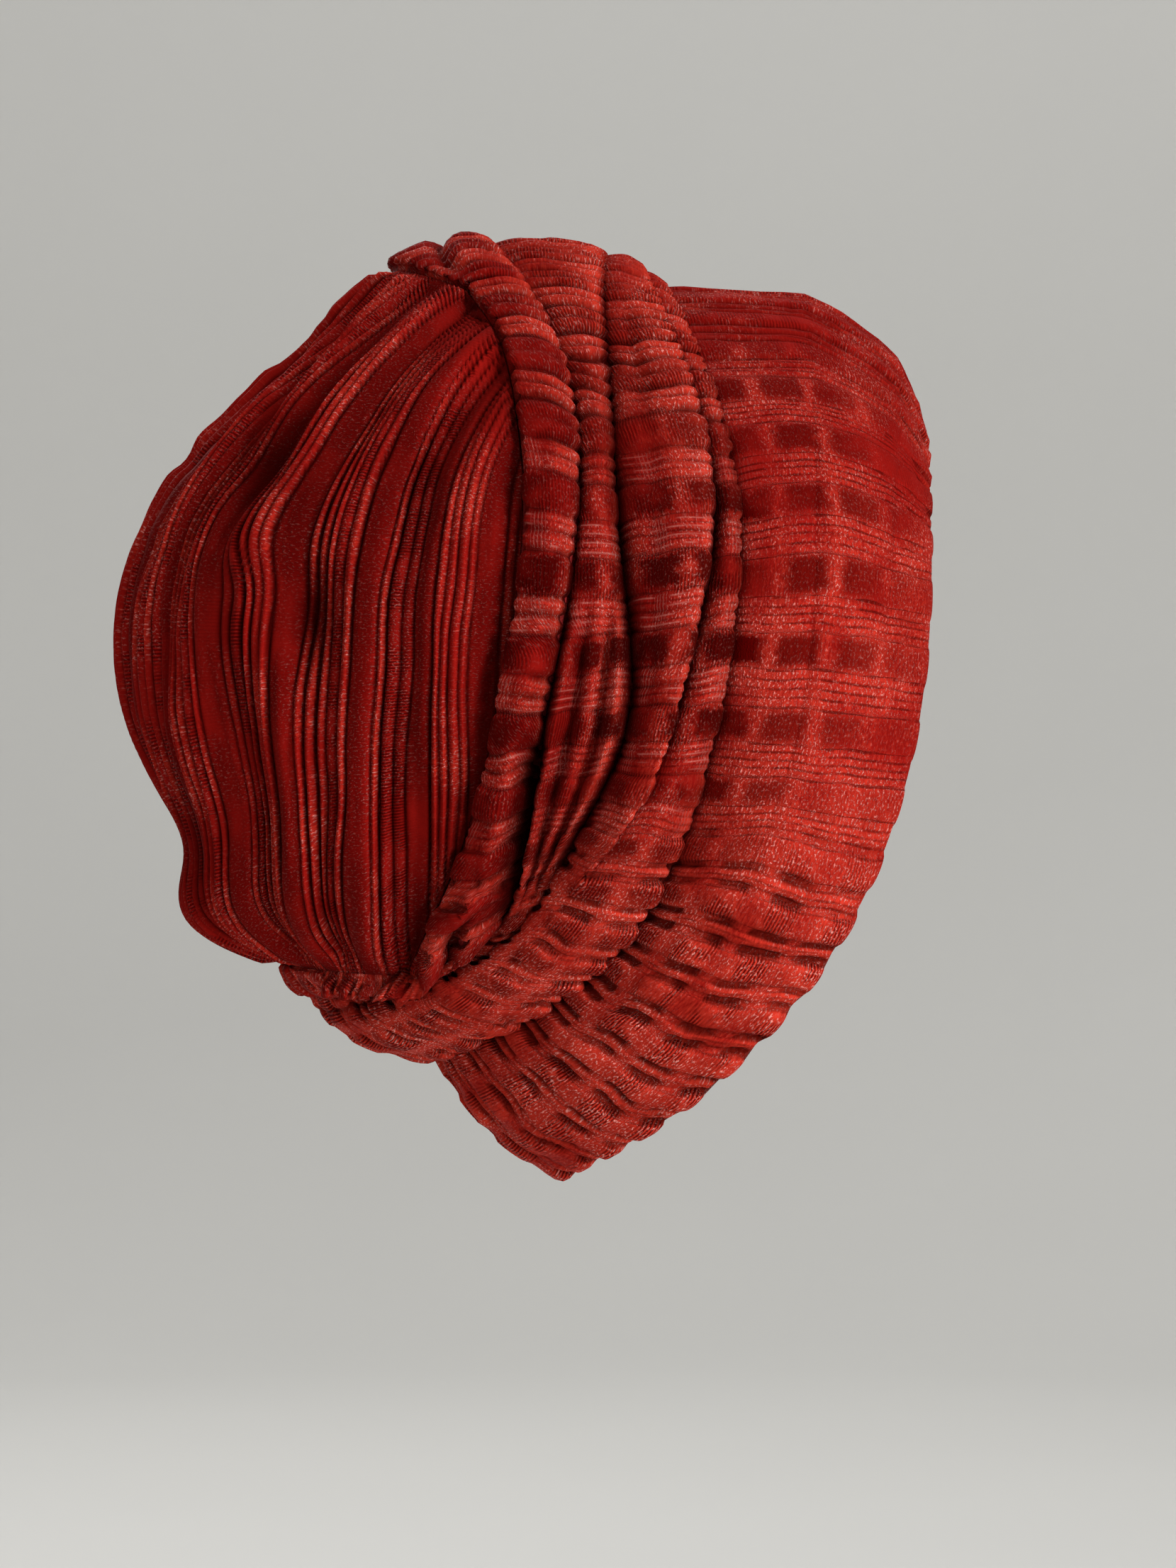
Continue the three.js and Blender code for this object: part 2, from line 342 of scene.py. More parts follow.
CROWN_SECTIONS = (
    CrownSection(-77, -2, 36, -100, 7),
    CrownSection(-67, -19, 54, -119, -11),
    CrownSection(-62, -42, 66, -143, -33),
    CrownSection(-60, -67, 73, -165, -58),
    CrownSection(-62, -93, 75, -178, -88),
    CrownSection(-66, -117, 74, -178, -121),
    CrownSection(-71, -141, 70, -167, -152),
    CrownSection(-79, -166, 62, -160, -182),
    CrownSection(-94, -199, 44, -131, -197),
)

DENTS = (
    Dent(0.34, 0.44, 5.0, 0.08, 0.12),
    Dent(0.52, 0.68, 4.0, 0.07, 0.10),
    Dent(0.36, 0.78, 3.0, 0.10, 0.09),
    Dent(0.80, 0.05, 5.0, 0.05, 0.30),
)

PINCHES = (
    Dent(0.34, 0.44, 2.5, 0.05, 0.035),
    Dent(0.53, 0.66, 2.5, 0.06, 0.03),
    Dent(0.33, 0.76, 1.5, 0.05, 0.03),
)


class CrownShape:
    """The crown without its relief, whose edge is also the last line of the front panel."""

    gather_turn: float = math.radians(25.0)
    corner_turn: float = math.radians(150.0)

    def __init__(self, sections: Sequence[CrownSection]) -> None:
        """Keeps the seam and back curves of the sections."""
        self.seam = np.array([(s.seam_x, s.half_width, s.seam_z) for s in sections], float)
        self.back = np.array([(s.back_x, 0.0, s.back_z) for s in sections], float)

    def smooth(self, down: Array, around: Array) -> Array:
        """Points of the crown.

        Args:
            down: From 0 at the top gather to 1 at the lower edge.
            around: From -1 at the left seam over 0 at the back to 1 at the right seam.

        Returns:
            Points in the shape of down and around, with a last axis for x, y and z.
        """
        down, around = np.broadcast_arrays(down, around)
        seam = catmull_rom(self.seam, down)
        back = catmull_rom(self.back, down)
        quarter = around * math.pi / 2.0
        to_back = np.cos(quarter)[..., None]
        points = seam + (back - seam) * to_back
        points[..., 1] = -seam[..., 1] * np.sin(quarter)
        return points

    def edge(self, turn: Array) -> Array:
        """Points of the crown's edge at angles of the loop round the head."""
        turn = (turn + math.pi) % (2 * math.pi) - math.pi
        size, hand = np.abs(turn), np.where(turn < 0, -1.0, 1.0)
        down = np.clip((size - self.gather_turn) / (self.corner_turn - self.gather_turn), 0.0, 1.0)
        top = size / self.gather_turn
        foot = (math.pi - size) / (math.pi - self.corner_turn)
        return self.smooth(down, hand * np.minimum(np.minimum(top, foot), 1.0))


class DrapeShape:
    """The lines of the front panel with the crown's edge after them.

    Directions out of the cloth are taken over a step to either side, in radians.
    """

    step: float = 0.02

    def __init__(self, lines: Mapping[Line, LoopLine], crown: CrownShape) -> None:
        """Keeps the lines and the crown that the last strip runs to."""
        self.lines = dict(lines)
        self.crown = crown

    def points(self, line: int, turn: Array) -> Array:
        """Points of a line; the last one is the crown's edge."""
        return self.crown.edge(turn) if line == Line.SEAM else self.lines[line].points(turn)

    def along(self, line: int, turn: Array, step: float) -> Array:
        """How far a line goes from a step before each angle to a step after it."""
        return self.points(line, turn + step) - self.points(line, turn - step)

    def normals(self, line: int, turn: Array) -> Array:
        """Directions out of the cloth at a line."""
        behind = self.points(min(line + 1, Line.SEAM), turn)
        across = behind - self.points(max(line - 1, Line.HEM), turn)
        return unit(np.cross(across, self.along(line, turn, self.step)))

    def lag(self, line: Line, around: Array) -> Array:
        """How far the ribs at places round the head have slid where they cross a line, in radians."""
        degrees = SEAM_LAG if line == Line.SEAM else self.lines[line].lag
        return np.sign(around) * np.radians(even_curve(degrees, around))

    def sink(self, line: Line, around: Array) -> Array:
        """How deep the cloth is pulled in along a line, at places round the head."""
        return np.zeros_like(around) if line == Line.SEAM else even_curve(self.lines[line].sink, around)


# Cloth pattern, relief and meshes

# Standing pile above which a rib is a ladder of short rows, or a bar
LADDER_PILE = 0.1
BAR_PILE = 0.5


class RibRow:
    """Ribs side by side across the cloth: wide bars of standing pile with thin ribs between them.

    Places across the ribs are given in ribs, so that a whole number is a groove. Ranges are those
    of seeded chances, widths are in millimetres, and the powers round a rib off: a low one is full.
    """

    floor_range: Span = (0.0, 0.4)
    crest_range: Span = (0.8, 1.0)
    pile_loss: float = 0.12
    repeat_range: Span = (0.84, 1.16)
    bar_widths: Span = (5.0, 9.5)
    bar_piles: Span = (0.75, 1.0)
    ribs_between: tuple[int, int] = (3, 6)
    ladder_chance: float = 0.4
    ladder_widths: Span = (3.0, 4.6)
    ladder_piles: Span = (0.2, 0.4)
    ridge_widths: Span = (2.1, 3.5)
    bar_power: float = 0.55
    ladder_power: float = 0.9
    ridge_power: float = 1.4

    def __init__(self, widths: Array, piles: Array, seed: int) -> None:
        """Keeps the ribs' widths in millimetres and how much pile stands on each, from 0 to 1."""
        chance = np.random.default_rng(seed)
        self.widths = widths
        self.piles = piles
        self.count = len(widths)
        self.length = float(widths.sum())
        self.edges = np.concatenate([[0.0], np.cumsum(widths)])
        self.floors = chance.uniform(*self.floor_range, self.count)
        self.crests = chance.uniform(*self.crest_range, self.count) - self.pile_loss * (piles > LADDER_PILE)

    @classmethod
    def repeating(cls, stripe: "Stripe", spans: Array, seed: int) -> "RibRow":
        """A row of repeats with one bar in each, which vary a little from rib to rib.

        Args:
            stripe: The repeat.
            spans: Widths of the repeats in millimetres.
            seed: Seed of the small variations.

        Returns:
            The row, as long as the repeats together.
        """
        one = np.diff(stripe.edges) / stripe.edges[-1]
        chance = np.random.default_rng(seed)
        widths = np.outer(spans, one) * chance.uniform(*cls.repeat_range, (len(spans), len(one)))
        widths *= (spans / widths.sum(axis=1))[:, None]
        return cls(widths.ravel(), np.tile([1.0] + [0.0] * stripe.count, len(spans)), seed)

    @classmethod
    def gathered(cls, length: float, seed: int) -> "RibRow":
        """A row of uneven ribs, as gathered cloth shows them, over at least the length given."""
        chance = np.random.default_rng(seed)
        widths, piles = [], []
        while sum(widths) < length:
            widths.append(chance.uniform(*cls.bar_widths))
            piles.append(chance.uniform(*cls.bar_piles))
            for _ in range(chance.integers(*cls.ribs_between)):
                ladder = chance.random() < cls.ladder_chance
                widths.append(chance.uniform(*(cls.ladder_widths if ladder else cls.ridge_widths)))
                piles.append(chance.uniform(*cls.ladder_piles) if ladder else 0.0)
        return cls(np.array(widths), np.array(piles), seed)

    def index(self, place: Array) -> Array:
        """Places in ribs for places in millimetres."""
        turns = np.floor(place / self.length)
        within = place - turns * self.length
        return np.interp(within, self.edges, np.arange(self.count + 1)) + turns * self.count

    def of_rib(self, values: Array, index: Array) -> Array:
        """A value of the rib that each place lies on."""
        return values[np.floor(index).astype(int) % self.count]

    def relief(self, index: Array) -> Array:
        """Height of rounded ribs, from 0 in the deepest grooves to 1 on the highest crests."""
        part = index - np.floor(index)
        pile = self.of_rib(self.piles, index)
        thin = np.where(pile > LADDER_PILE, self.ladder_power, self.ridge_power)
        cord = np.sin(math.pi * part) ** np.where(pile > BAR_PILE, self.bar_power, thin)
        floor = self.floors[np.round(index).astype(int) % self.count]
        return floor + (self.of_rib(self.crests, index) - floor) * cord


@dataclass(frozen=True)
class Stripe:
    """The repeat across the front panel's cloth: a bar of pile and thin ribs.

    Widths and the spreads of its grooves are in millimetres. The slots' inset is in thin ribs, and
    depths are shares of the deepest grooves.
    """

    bar: float = 9.8
    thin: float = 2.2
    count: int = 4
    fine_spread: float = 0.5
    cord_spread: float = 1.25
    pair_depth: float = 0.3
    bunch_spread: float = 1.5
    half_depth: float = 0.6
    half_spread: float = 1.1
    slot_inset: float = 0.6
    slot_spread: float = 1.3
    shoulder: float = 1.0

    @property
    def edges(self) -> Array:
        """Places of the grooves from the first edge of the bar."""
        return np.concatenate([[0.0], self.bar + self.thin * np.arange(self.count + 1)])

    def place(self, index: Array) -> Array:
        """Places in the repeat for places in ribs."""
        return np.interp(index % (self.count + 1), np.arange(self.count + 2), self.edges)

    def grooves(self, place: Array, centres: Sequence[float], spread: float) -> Array:
        """Rounded grooves at places in the repeat, one deep at their centres."""
        length = self.edges[-1]
        depth = np.zeros_like(place)
        for centre in centres:
            apart = np.abs(place - centre)
            depth = np.maximum(depth, bump(np.minimum(apart, length - apart), 0.0, spread))
        return depth

    def fine(self, place: Array) -> Array:
        """Fine grooves between all ribs, as the stretched band shows."""
        return self.grooves(place, self.edges[1:], self.fine_spread)

    def corded(self, place: Array) -> Array:
        """Soft grooves beside the bar and between pairs of thin ribs, as the tucks show."""
        deep = self.grooves(place, self.edges[1::2], self.cord_spread)
        pairs = self.grooves(place, self.edges[2::2], self.fine_spread)
        return np.maximum(deep, self.pair_depth * pairs)

    def bunched(self, place: Array) -> Array:
        """Deep grooves beside the bar, and shallow ones that halve it and the thin ribs."""
        deep = self.grooves(place, self.edges[:2], self.bunch_spread)
        middles = (0.5 * self.bar, self.edges[1 + self.count // 2])
        halves = self.grooves(place, middles, self.half_spread)
        return np.maximum(deep, self.half_depth * halves)

    def slotted(self, place: Array) -> Array:
        """Slots on both sides of the thin ribs, which lie drawn together, as the slack nape shows."""
        inset = self.slot_inset * self.thin
        return self.grooves(place, (self.bar + inset, self.edges[-1] - inset), self.slot_spread)

    def swell(self, place: Array) -> Array:
        """The rounded back of the bar."""
        half = 0.5 * self.bar
        return np.sqrt(np.clip(1.0 - ((place - half) / (half + self.shoulder)) ** 2, 0.0, 1.0))


@dataclass(frozen=True)
class Checks:
    """The squares that the pile stands in along the bars: their repeat in millimetres and its start.

    The edge is where a square fades out, in repeats from its middle.
    """

    repeat: float = 16.4
    offset: float = 0.75
    edge: Ramp = (0.26, 0.38)

    def index(self, along: Array) -> Array:
        """Places in squares for places along the ribs in millimetres."""
        return along / self.repeat + self.offset

    def inside(self, index: Array) -> Array:
        """One within a square and zero between two."""
        part = index - np.floor(index)
        return 1.0 - smooth_step(np.abs(part - 0.5), *self.edge)


class ClothSide(Enum):
    """Sides of the cloth, by their material slot on a piece."""

    PILE = 0
    BACK = 1


class Tone(Enum):
    """Point values that the velvet reads.

    They are the standing pile and width of a rib, how dark its pile is between and in the squares,
    the strength of the painted shade in the grooves, of the combed rows of pile and of the bare threads
    with their painted crest highlights, how far the pile is crushed with painted highlights on the
    drape's fold edges and crests, the painted shade of hollows, tucks, flanks and under the roll, and
    how open the slots beside a bar are, whose mouths get painted shade.
    """

    PILE = "pile"
    PITCH = "pitch"
    BAR = "bar"
    SQUARE = "square"
    # Strength of the painted shade in the grooves
    LINE = "line"
    COMB = "comb"
    THREAD = "thread"
    # Crushed pile, with painted highlights along the drape's fold edges and crests
    CRUSH = "crush"
    SHADE = "shade"
    SLOT = "slot"


def stack_tones(tones: dict[Tone, Any], shape: tuple[int, ...]) -> Array:
    """Tones of a grid as one array.

    Args:
        tones: A number or a grid for every tone.
        shape: Shape of the grid.

    Returns:
        Rows by columns by tones.
    """
    return np.stack([np.broadcast_to(tones[tone], shape) for tone in Tone], axis=-1).astype(float)


class ClothShell:
    """A closed wall of cloth made of an outer grid and a coarser lining, joined along the rims."""

    def __init__(self, closed: bool, ribs: int) -> None:
        """Starts an empty shell with a number of ribs across it, closed on itself or not."""
        self.closed = closed
        self.ribs = ribs
        self.points: list[Array] = []
        self.cloth: list[Array] = []
        self.tones: list[Array] = []
        self.faces: list[Array] = []
        self.sides: list[Array] = []
        self.count = 0

    def _add_grid(self, points: Array, cloth: Array, tones: Array) -> Array:
        """Adds a grid of points.

        Args:
            points: Rows by columns by 3.
            cloth: Cloth coordinates, rows by columns by 2.
            tones: A value for each tone, rows by columns by tones.

        Returns:
            The numbers of the points; a closed grid repeats its first column at the end.
        """
        rows, columns = points.shape[:2]
        numbers = np.arange(rows * columns).reshape(rows, columns) + self.count
        self.points.append(points.reshape(-1, 3))
        self.cloth.append(cloth.reshape(-1, 2))
        self.tones.append(tones.reshape(-1, len(Tone)))
        self.count += rows * columns
        return np.hstack([numbers, numbers[:, :1]]) if self.closed else numbers

    def _add_faces(self, faces: Array, side: ClothSide) -> None:
        """Adds faces of one side, as rows of three or four point numbers."""
        self.faces.append(faces)
        self.sides.append(np.full(len(faces), side.value))

    def _cover(self, grid: Array, side: ClothSide) -> None:
        """Covers a grid with quads that face out of the pile side, or in on the back."""
        corners = [grid[:-1, :-1], grid[1:, :-1], grid[1:, 1:], grid[:-1, 1:]]
        quads = np.stack(corners, axis=-1).reshape(-1, 4)
        self._add_faces(quads if side is ClothSide.PILE else quads[:, ::-1], side)

    def _stitch(self, outer: Array, lining: Array, ratio: int) -> None:
        """Joins an outer edge to the lining's, which has a point for every `ratio` outer steps."""
        middle = ratio // 2
        faces = []
        for k in range(len(lining) - 1):
            for i in range(ratio):
                near = lining[k] if i < middle else lining[k + 1]
                faces.append((outer[k * ratio + i], outer[k * ratio + i + 1], near))
            faces.append((outer[k * ratio + middle], lining[k + 1], lining[k]))
        self._add_faces(np.array(faces), ClothSide.PILE)

    def close(
        self, outer: Array, lining: Array, cloth: Array, tones: Array, steps: tuple[int, int]
    ) -> None:
        """Adds both sides of the cloth and joins them along its rims.

        Args:
            outer: Points of the pile side, rows by columns by 3.
            lining: Points of the back, in the same shape.
            cloth: Cloth coordinates, rows by columns by 2.
            tones: A value for each tone, rows by columns by tones.
            steps: Rows and columns of the pile side for one of the back.
        """
        thin = np.s_[:: steps[0], :: steps[1]]
        front = self._add_grid(outer, cloth, tones)
        back = self._add_grid(lining[thin], cloth[thin], tones[thin])
        self._cover(front, ClothSide.PILE)
        self._cover(back, ClothSide.BACK)
        self._stitch(front[0], back[0], steps[1])
        self._stitch(front[-1][::-1], back[-1][::-1], steps[1])
        if not self.closed:
            self._stitch(front[::-1, 0], back[::-1, 0], steps[0])
            self._stitch(front[:, -1], back[:, -1], steps[0])

    def object(self, name: str) -> bpy.types.Object:
        """Makes the mesh object.

        Args:
            name: Name of the object and its mesh.

        Returns:
            The object, in metres, with the cloth coordinates as its UV map.
        """
        points = np.vstack(self.points) * MILLIMETRE
        tones = np.vstack(self.tones)
        mesh = bpy.data.meshes.new(name)
        corners = np.concatenate([f.reshape(-1) for f in self.faces])
        sizes = np.concatenate([np.full(len(f), f.shape[1]) for f in self.faces])
        mesh.vertices.add(len(points))
        mesh.vertices.foreach_set("co", points.reshape(-1))
        mesh.loops.add(len(corners))
        mesh.loops.foreach_set("vertex_index", corners)
        mesh.polygons.add(len(sizes))
        mesh.polygons.foreach_set("loop_start", np.cumsum(sizes) - sizes)
        mesh.polygons.foreach_set("material_index", np.concatenate(self.sides))
        mesh.polygons.foreach_set("use_smooth", np.ones(len(sizes), bool))
        layer = mesh.uv_layers.new(name="cloth")
        layer.data.foreach_set("uv", self._seamless(corners, sizes).reshape(-1))
        for k, tone in enumerate(Tone):
            layer = mesh.attributes.new(tone.value, "FLOAT", "POINT")
            layer.data.foreach_set("value", np.ascontiguousarray(tones[:, k]))
        mesh.update(calc_edges=True)
        mesh.validate()
        piece = bpy.data.objects.new(name, mesh)
        bpy.context.scene.collection.objects.link(piece)
        return piece

    def _seamless(self, corners: Array, sizes: Array) -> Array:
        """Cloth coordinates by face corner, with faces across the closing column kept whole."""
        uv = np.vstack(self.cloth)[corners]
        if self.closed:
            first = np.repeat(np.cumsum(sizes) - sizes, sizes)
            uv[:, 0] -= self.ribs * np.round((uv[:, 0] - uv[first, 0]) / self.ribs)
        return uv


def grid_normals(points: Array, closed: bool) -> Array:
    """Directions out of a grid whose rows run back or down and columns round to the right.

    Args:
        points: Rows by columns by 3.
        closed: Whether the columns close on themselves.

    Returns:
        Unit vectors in the same shape.
    """
    if closed:
        along = np.roll(points, -1, axis=1) - np.roll(points, 1, axis=1)
    else:
        along = np.gradient(points, axis=1)
    return unit(np.cross(np.gradient(points, axis=0), along))


@dataclass(frozen=True)
class TurnedHem:
    """The turned hem, in millimetres: its rounded edge, its plain rim and the stitching behind it."""

    edge: float = 1.4
    sink: float = 0.6
    plain: float = 3.0
    stitching: Bell = (8.0, 0.9)
    stitch_depth: float = 0.55

    def relief(self, behind: Array) -> tuple[Array, Array]:
        """Share of the ribs' relief that is left at distances behind the edge, and how far they sink."""
        share = np.clip(1.0 - behind / self.edge, 0.0, 1.0)
        edge = self.sink * self.edge * (1.0 - np.sqrt(1.0 - share**2))
        stitches = self.stitch_depth * bump(behind, *self.stitching)
        return smooth_step(behind, 0.0, self.plain), edge + stitches


@dataclass(frozen=True)
class SplitPleats:
    """The back fold where it splits into pleats: where round the head, and their relief."""

    turns: Stretch = (82.0, 112.0, 12.0)
    count: int = 3
    height: float = 5.0
    power: float = 1.3
    lift: float = 0.8
    base: float = 4.5

    def wave(self, across: float) -> float:
        """The pleats at a place across the fold, from 0 in a valley to 1 on a crest."""
        return abs(math.sin(self.count * math.pi * across))

    def relief(self, across: float, lining: bool) -> float:
        """Height of the pleats over the fold that they take the place of; the lining has none."""
        pleats = 0.0 if lining else self.height * self.wave(across) ** self.power + self.lift
        return pleats - self.base * math.sin(math.pi * across)


@dataclass(frozen=True)
class RollEnds:
    """The ends of the roll: a crease at the top, and a pucker, a cord and a hollow at the foot.

    Turns are angles from the top in degrees, and places run across the roll from 0 to 1.
    """

    crease_turns: Stretch = (0.0, 14.0, 8.0)
    crease_start: float = 0.42
    crease_slant: float = 0.02
    crease_spread: float = 0.09
    crease_depth: float = 4.0
    pucker_turn: Bell = (116.0, 7.0)
    pucker_place: Bell = (0.35, 0.3)
    rays: float = 6.0
    ray_height: float = 1.4
    pit_depth: float = 1.2
    pit_spread: float = 0.4
    cord_turns: Stretch = (117.0, 152.0, 5.0)
    cord_start: float = 0.65
    cord_slant: float = 0.28
    cord_reach: Ramp = (0.6, 0.88)
    cord_spread: float = 0.09
    cord_height: float = 4.0
    hollow_turns: Stretch = (122.0, 134.0, 5.0)
    hollow_place: Bell = (0.62, 0.12)
    hollow_depth: float = 6.0

    def crease(self, turn: Array, across: float) -> Array:
        """The crease across the top, where the roll comes out of the crown's gather, from 0 to 1."""
        slant = self.crease_start + self.crease_slant * turn
        return window(turn, *self.crease_turns) * bump(across - slant, 0.0, self.crease_spread)

    def hollow(self, turn: Array, across: float) -> Array:
        """The hollow in front of the cord, from 0 to 1."""
        return window(turn, *self.hollow_turns) * bump(across, *self.hollow_place)

    def relief(self, turn: Array, across: float, lining: bool) -> Array:
        """Height of the ends over the plain roll; the lining has no pucker and no cord.

        Args:
            turn: Angles from the top in degrees.
            across: Place across the roll.
            lining: Whether the points lie on the back of the cloth.

        Returns:
            Millimetres at each angle.
        """
        beyond = (turn - self.pucker_turn[0]) / self.pucker_turn[1]
        aside = (across - self.pucker_place[0]) / self.pucker_place[1]
        reach = np.hypot(beyond, aside)
        rays = np.cos(self.rays * np.arctan2(beyond, aside)) * np.minimum(2.0 * reach, 1.0)
        pit = self.pit_depth * bump(reach, 0.0, self.pit_spread)
        pucker = bump(reach, 0.0, 1.0) * (self.ray_height * rays - pit)
        centre = np.clip(self.cord_start + self.cord_slant * beyond, *self.cord_reach)
        cord = window(turn, *self.cord_turns) * bump(across - centre, 0.0, self.cord_spread)
        raised = 0.0 if lining else pucker + self.cord_height * cord
        sunk = self.hollow_depth * self.hollow(turn, across)
        return raised - sunk - self.crease_depth * self.crease(turn, across)


@dataclass(frozen=True)
class DrapeNapAndPaintedLight:
    """How the pile lies on the front panel, and the light painted on it: dark squares, crushed pile,
    painted highlights on the folds' edges and crests, and painted shade in tucks, flanks and hollows.

    Turns are angles from the top in degrees, places run across a fold from 0 to 1, and reaches are
    millimetres from the front tuck towards the hem. The other values are shares of a tone.
    """

    drape: "FrontDrape"

    # Shade of tucks, flanks and hollows
    tuck_spread: float = 1.7
    deep_spread: float = 0.3
    full_sink: float = 3.0
    full_gap: float = 4.0
    flank_place: Ramp = (0.55, 1.0)
    flank_shade: float = 0.4
    crease_shade: float = 0.8
    pleat_shade: float = 0.95
    groove_shade: float = 0.9

    # Dark squares
    tuck_reach: Ramp = (8.0, 14.0)
    side_turns: Stretch = (34.0, 84.0, 24.0)
    side_reach: Ramp = (24.0, 52.0)
    side_fade: float = 0.55
    below_turns: Stretch = (84.0, 108.0, 14.0)
    below_reach: Ramp = (22.0, 30.0)
    band_square: float = 0.15
    side_square: float = 0.72
    below_square: float = 0.75
    corded_loss: float = 0.3
    slotted_loss: float = 0.85
    tuck_keep: float = 0.5
    bunched_loss: float = 0.5

    # Crushed pile, and painted highlights along the folds' front edges and crests
    fold_edge_highlight_place: Bell = (0.12, 0.06)
    fold_edge_highlight: float = 0.9
    fold_crest_highlight_place: Bell = (0.3, 0.2)
    fold_crest_highlight: float = 0.25
    corded_crush: float = 0.15
    slotted_crush: float = 0.25
    square_crush: float = 0.3
    dim_loss: float = 0.25
    high_turns: Ramp = (46.0, 82.0)
    high_loss: float = 0.22
    roll_loss: float = 0.05
    roll_bar_loss: float = 0.5

    # Bars, painted shade in grooves, combed rows, and threads with painted crest highlights
    bar_least: float = 0.08
    bar_corded: float = 0.4
    bar_bunched_loss: float = 0.6
    groove_shade_most: float = 0.6
    groove_shade_corded_loss: float = 0.35
    groove_shade_slotted_loss: float = 0.2
    comb_least: float = 0.1
    comb_fold: float = 0.6
    comb_slotted: float = 0.8
    band_thread: float = 0.15

    def _edge_highlights(self) -> Array:
        """Painted highlights along the front edges and crests of the folds, for the crush tone, by row and
        column.
        """
        rows = self.drape.rows
        crush = np.zeros((len(rows), self.drape.columns))
        for row, (strip, across) in enumerate(rows):
            if strip >= Strip.FRONT_FOLD:
                edge = self.fold_edge_highlight * bump(across, *self.fold_edge_highlight_place)
                crush[row] = edge + self.fold_crest_highlight * bump(across, *self.fold_crest_highlight_place)
            if strip > Strip.FRONT_FOLD:
                crush[row] *= 1.0 - self.drape.lower
        return crush

    def _shades(self, strip: Strip, across: float) -> list[Array]:
        """Shades of a mesh row, column by column: its tucks, the gap, its flank and its hollows."""
        drape = self.drape
        shades = [np.clip(drape.gap(strip, across) / self.full_gap, 0.0, 1.0)]
        for line, near in ((strip, across), (strip + 1, 1.0 - across)):
            if line >= Line.FRONT_TUCK:
                sink = drape.shape.sink(line, drape.around)
                spread = self.tuck_spread + self.deep_spread * np.maximum(sink - self.full_sink, 0.0)
                deep = np.clip(sink / self.full_sink, 0.0, 1.0)
                shades.append(deep * bump(near * drape.widths[strip], 0.0, spread))
        if strip >= Strip.FRONT_FOLD:
            flank = self.flank_shade * smooth_step(across, *self.flank_place)
            shades.append(flank * (1.0 - drape.lower))
        if strip == Strip.ROLL:
            shades.append(self.crease_shade * drape.ends.crease(drape.turn, across))
            shades.append(drape.ends.hollow(drape.turn, across))
        if strip == Strip.BACK_FOLD:
            valley = (1.0 - drape.pleats.wave(across)) ** 2
            shades.append(self.pleat_shade * drape.split * valley)
        return shades

    def _squares(self, v: Array, corded: Array, slotted: Array, by_tuck: Array) -> Array:
        """How dark the squares are, from 0 to 1, by row and column.

        Args:
            v: Millimetres back from the front tuck.
            corded: Share of corded relief.
            slotted: Share of slotted relief.
            by_tuck: How close the place is to the front tuck, from 0 to 1.

        Returns:
            The darkness, which fades over the band from the tuck to the hem.
        """
        turn = self.drape.turn
        side = window(turn, *self.side_turns) * (1.0 - self.side_fade * smooth_step(-v, *self.side_reach))
        below = window(turn, *self.below_turns) * (1.0 - smooth_step(-v, *self.below_reach))
        band = np.maximum(self.band_square + self.side_square * side, self.below_square * below)
        square = np.maximum(by_tuck * (1.0 - self.corded_loss * corded), band)
        square = square * (1.0 - (self.slotted_loss - self.tuck_keep * by_tuck) * slotted)
        return square * (1.0 - self.bunched_loss * self.drape.bunched * corded)

    def tones(self, v: Array, index: Array, hollow: Array, slot: Array) -> Array:
        """Values of the tones at each point.

        Args:
            v: Millimetres back from the front tuck.
            index: Places across the cloth in ribs.
            hollow: How hollow the ribs' relief is, from 0 to 1.
            slot: How open the slots are, from 0 to 1.

        Returns:
            Rows by columns by tones.
        """
        drape = self.drape
        corded, slotted = drape.kinds()
        shade = np.array([np.max(self._shades(strip, across), axis=0) for strip, across in drape.rows])
        inside = drape.checks.inside(drape.checks.index(v))
        pile = drape.ribs.of_rib(drape.ribs.piles, index)
        by_tuck = 1.0 - smooth_step(-v, *self.tuck_reach)
        on_band = 1.0 - drape.on_fold
        dim = drape.on_fold * (1.0 - drape.bunched) * (1.0 - slotted)
        high = on_band * (1.0 - smooth_step(drape.turn, *self.high_turns))
        # Crush tone, with the painted highlights along the folds' edges and crests added
        crush = self.corded_crush * corded + slotted * (self.slotted_crush + self.square_crush * inside)
        crush = crush - self.dim_loss * dim - self.high_loss * high + self._edge_highlights()
        bars = self.bar_corded * corded * (1.0 - self.bar_bunched_loss * drape.bunched)
        combed = self.comb_fold * np.maximum(corded, dim) + self.comb_slotted * slotted * inside
        tones = {
            Tone.PILE: pile,
            Tone.PITCH: drape.ribs.of_rib(drape.ribs.widths, index),
            Tone.BAR: self.bar_least + bars,
            Tone.SQUARE: self._squares(v, corded, slotted, by_tuck),
            Tone.LINE: self.groove_shade_most - self.groove_shade_corded_loss * corded - self.groove_shade_slotted_loss * slotted,
            Tone.COMB: self.comb_least + combed,
            Tone.THREAD: dim + self.band_thread * on_band * (1.0 - slotted) * by_tuck,
            Tone.CRUSH: crush - drape.on_roll * (self.roll_loss + self.roll_bar_loss * pile),
            Tone.SHADE: np.maximum(shade, self.groove_shade * hollow),
            Tone.SLOT: slot,
        }
        return stack_tones(tones, v.shape)


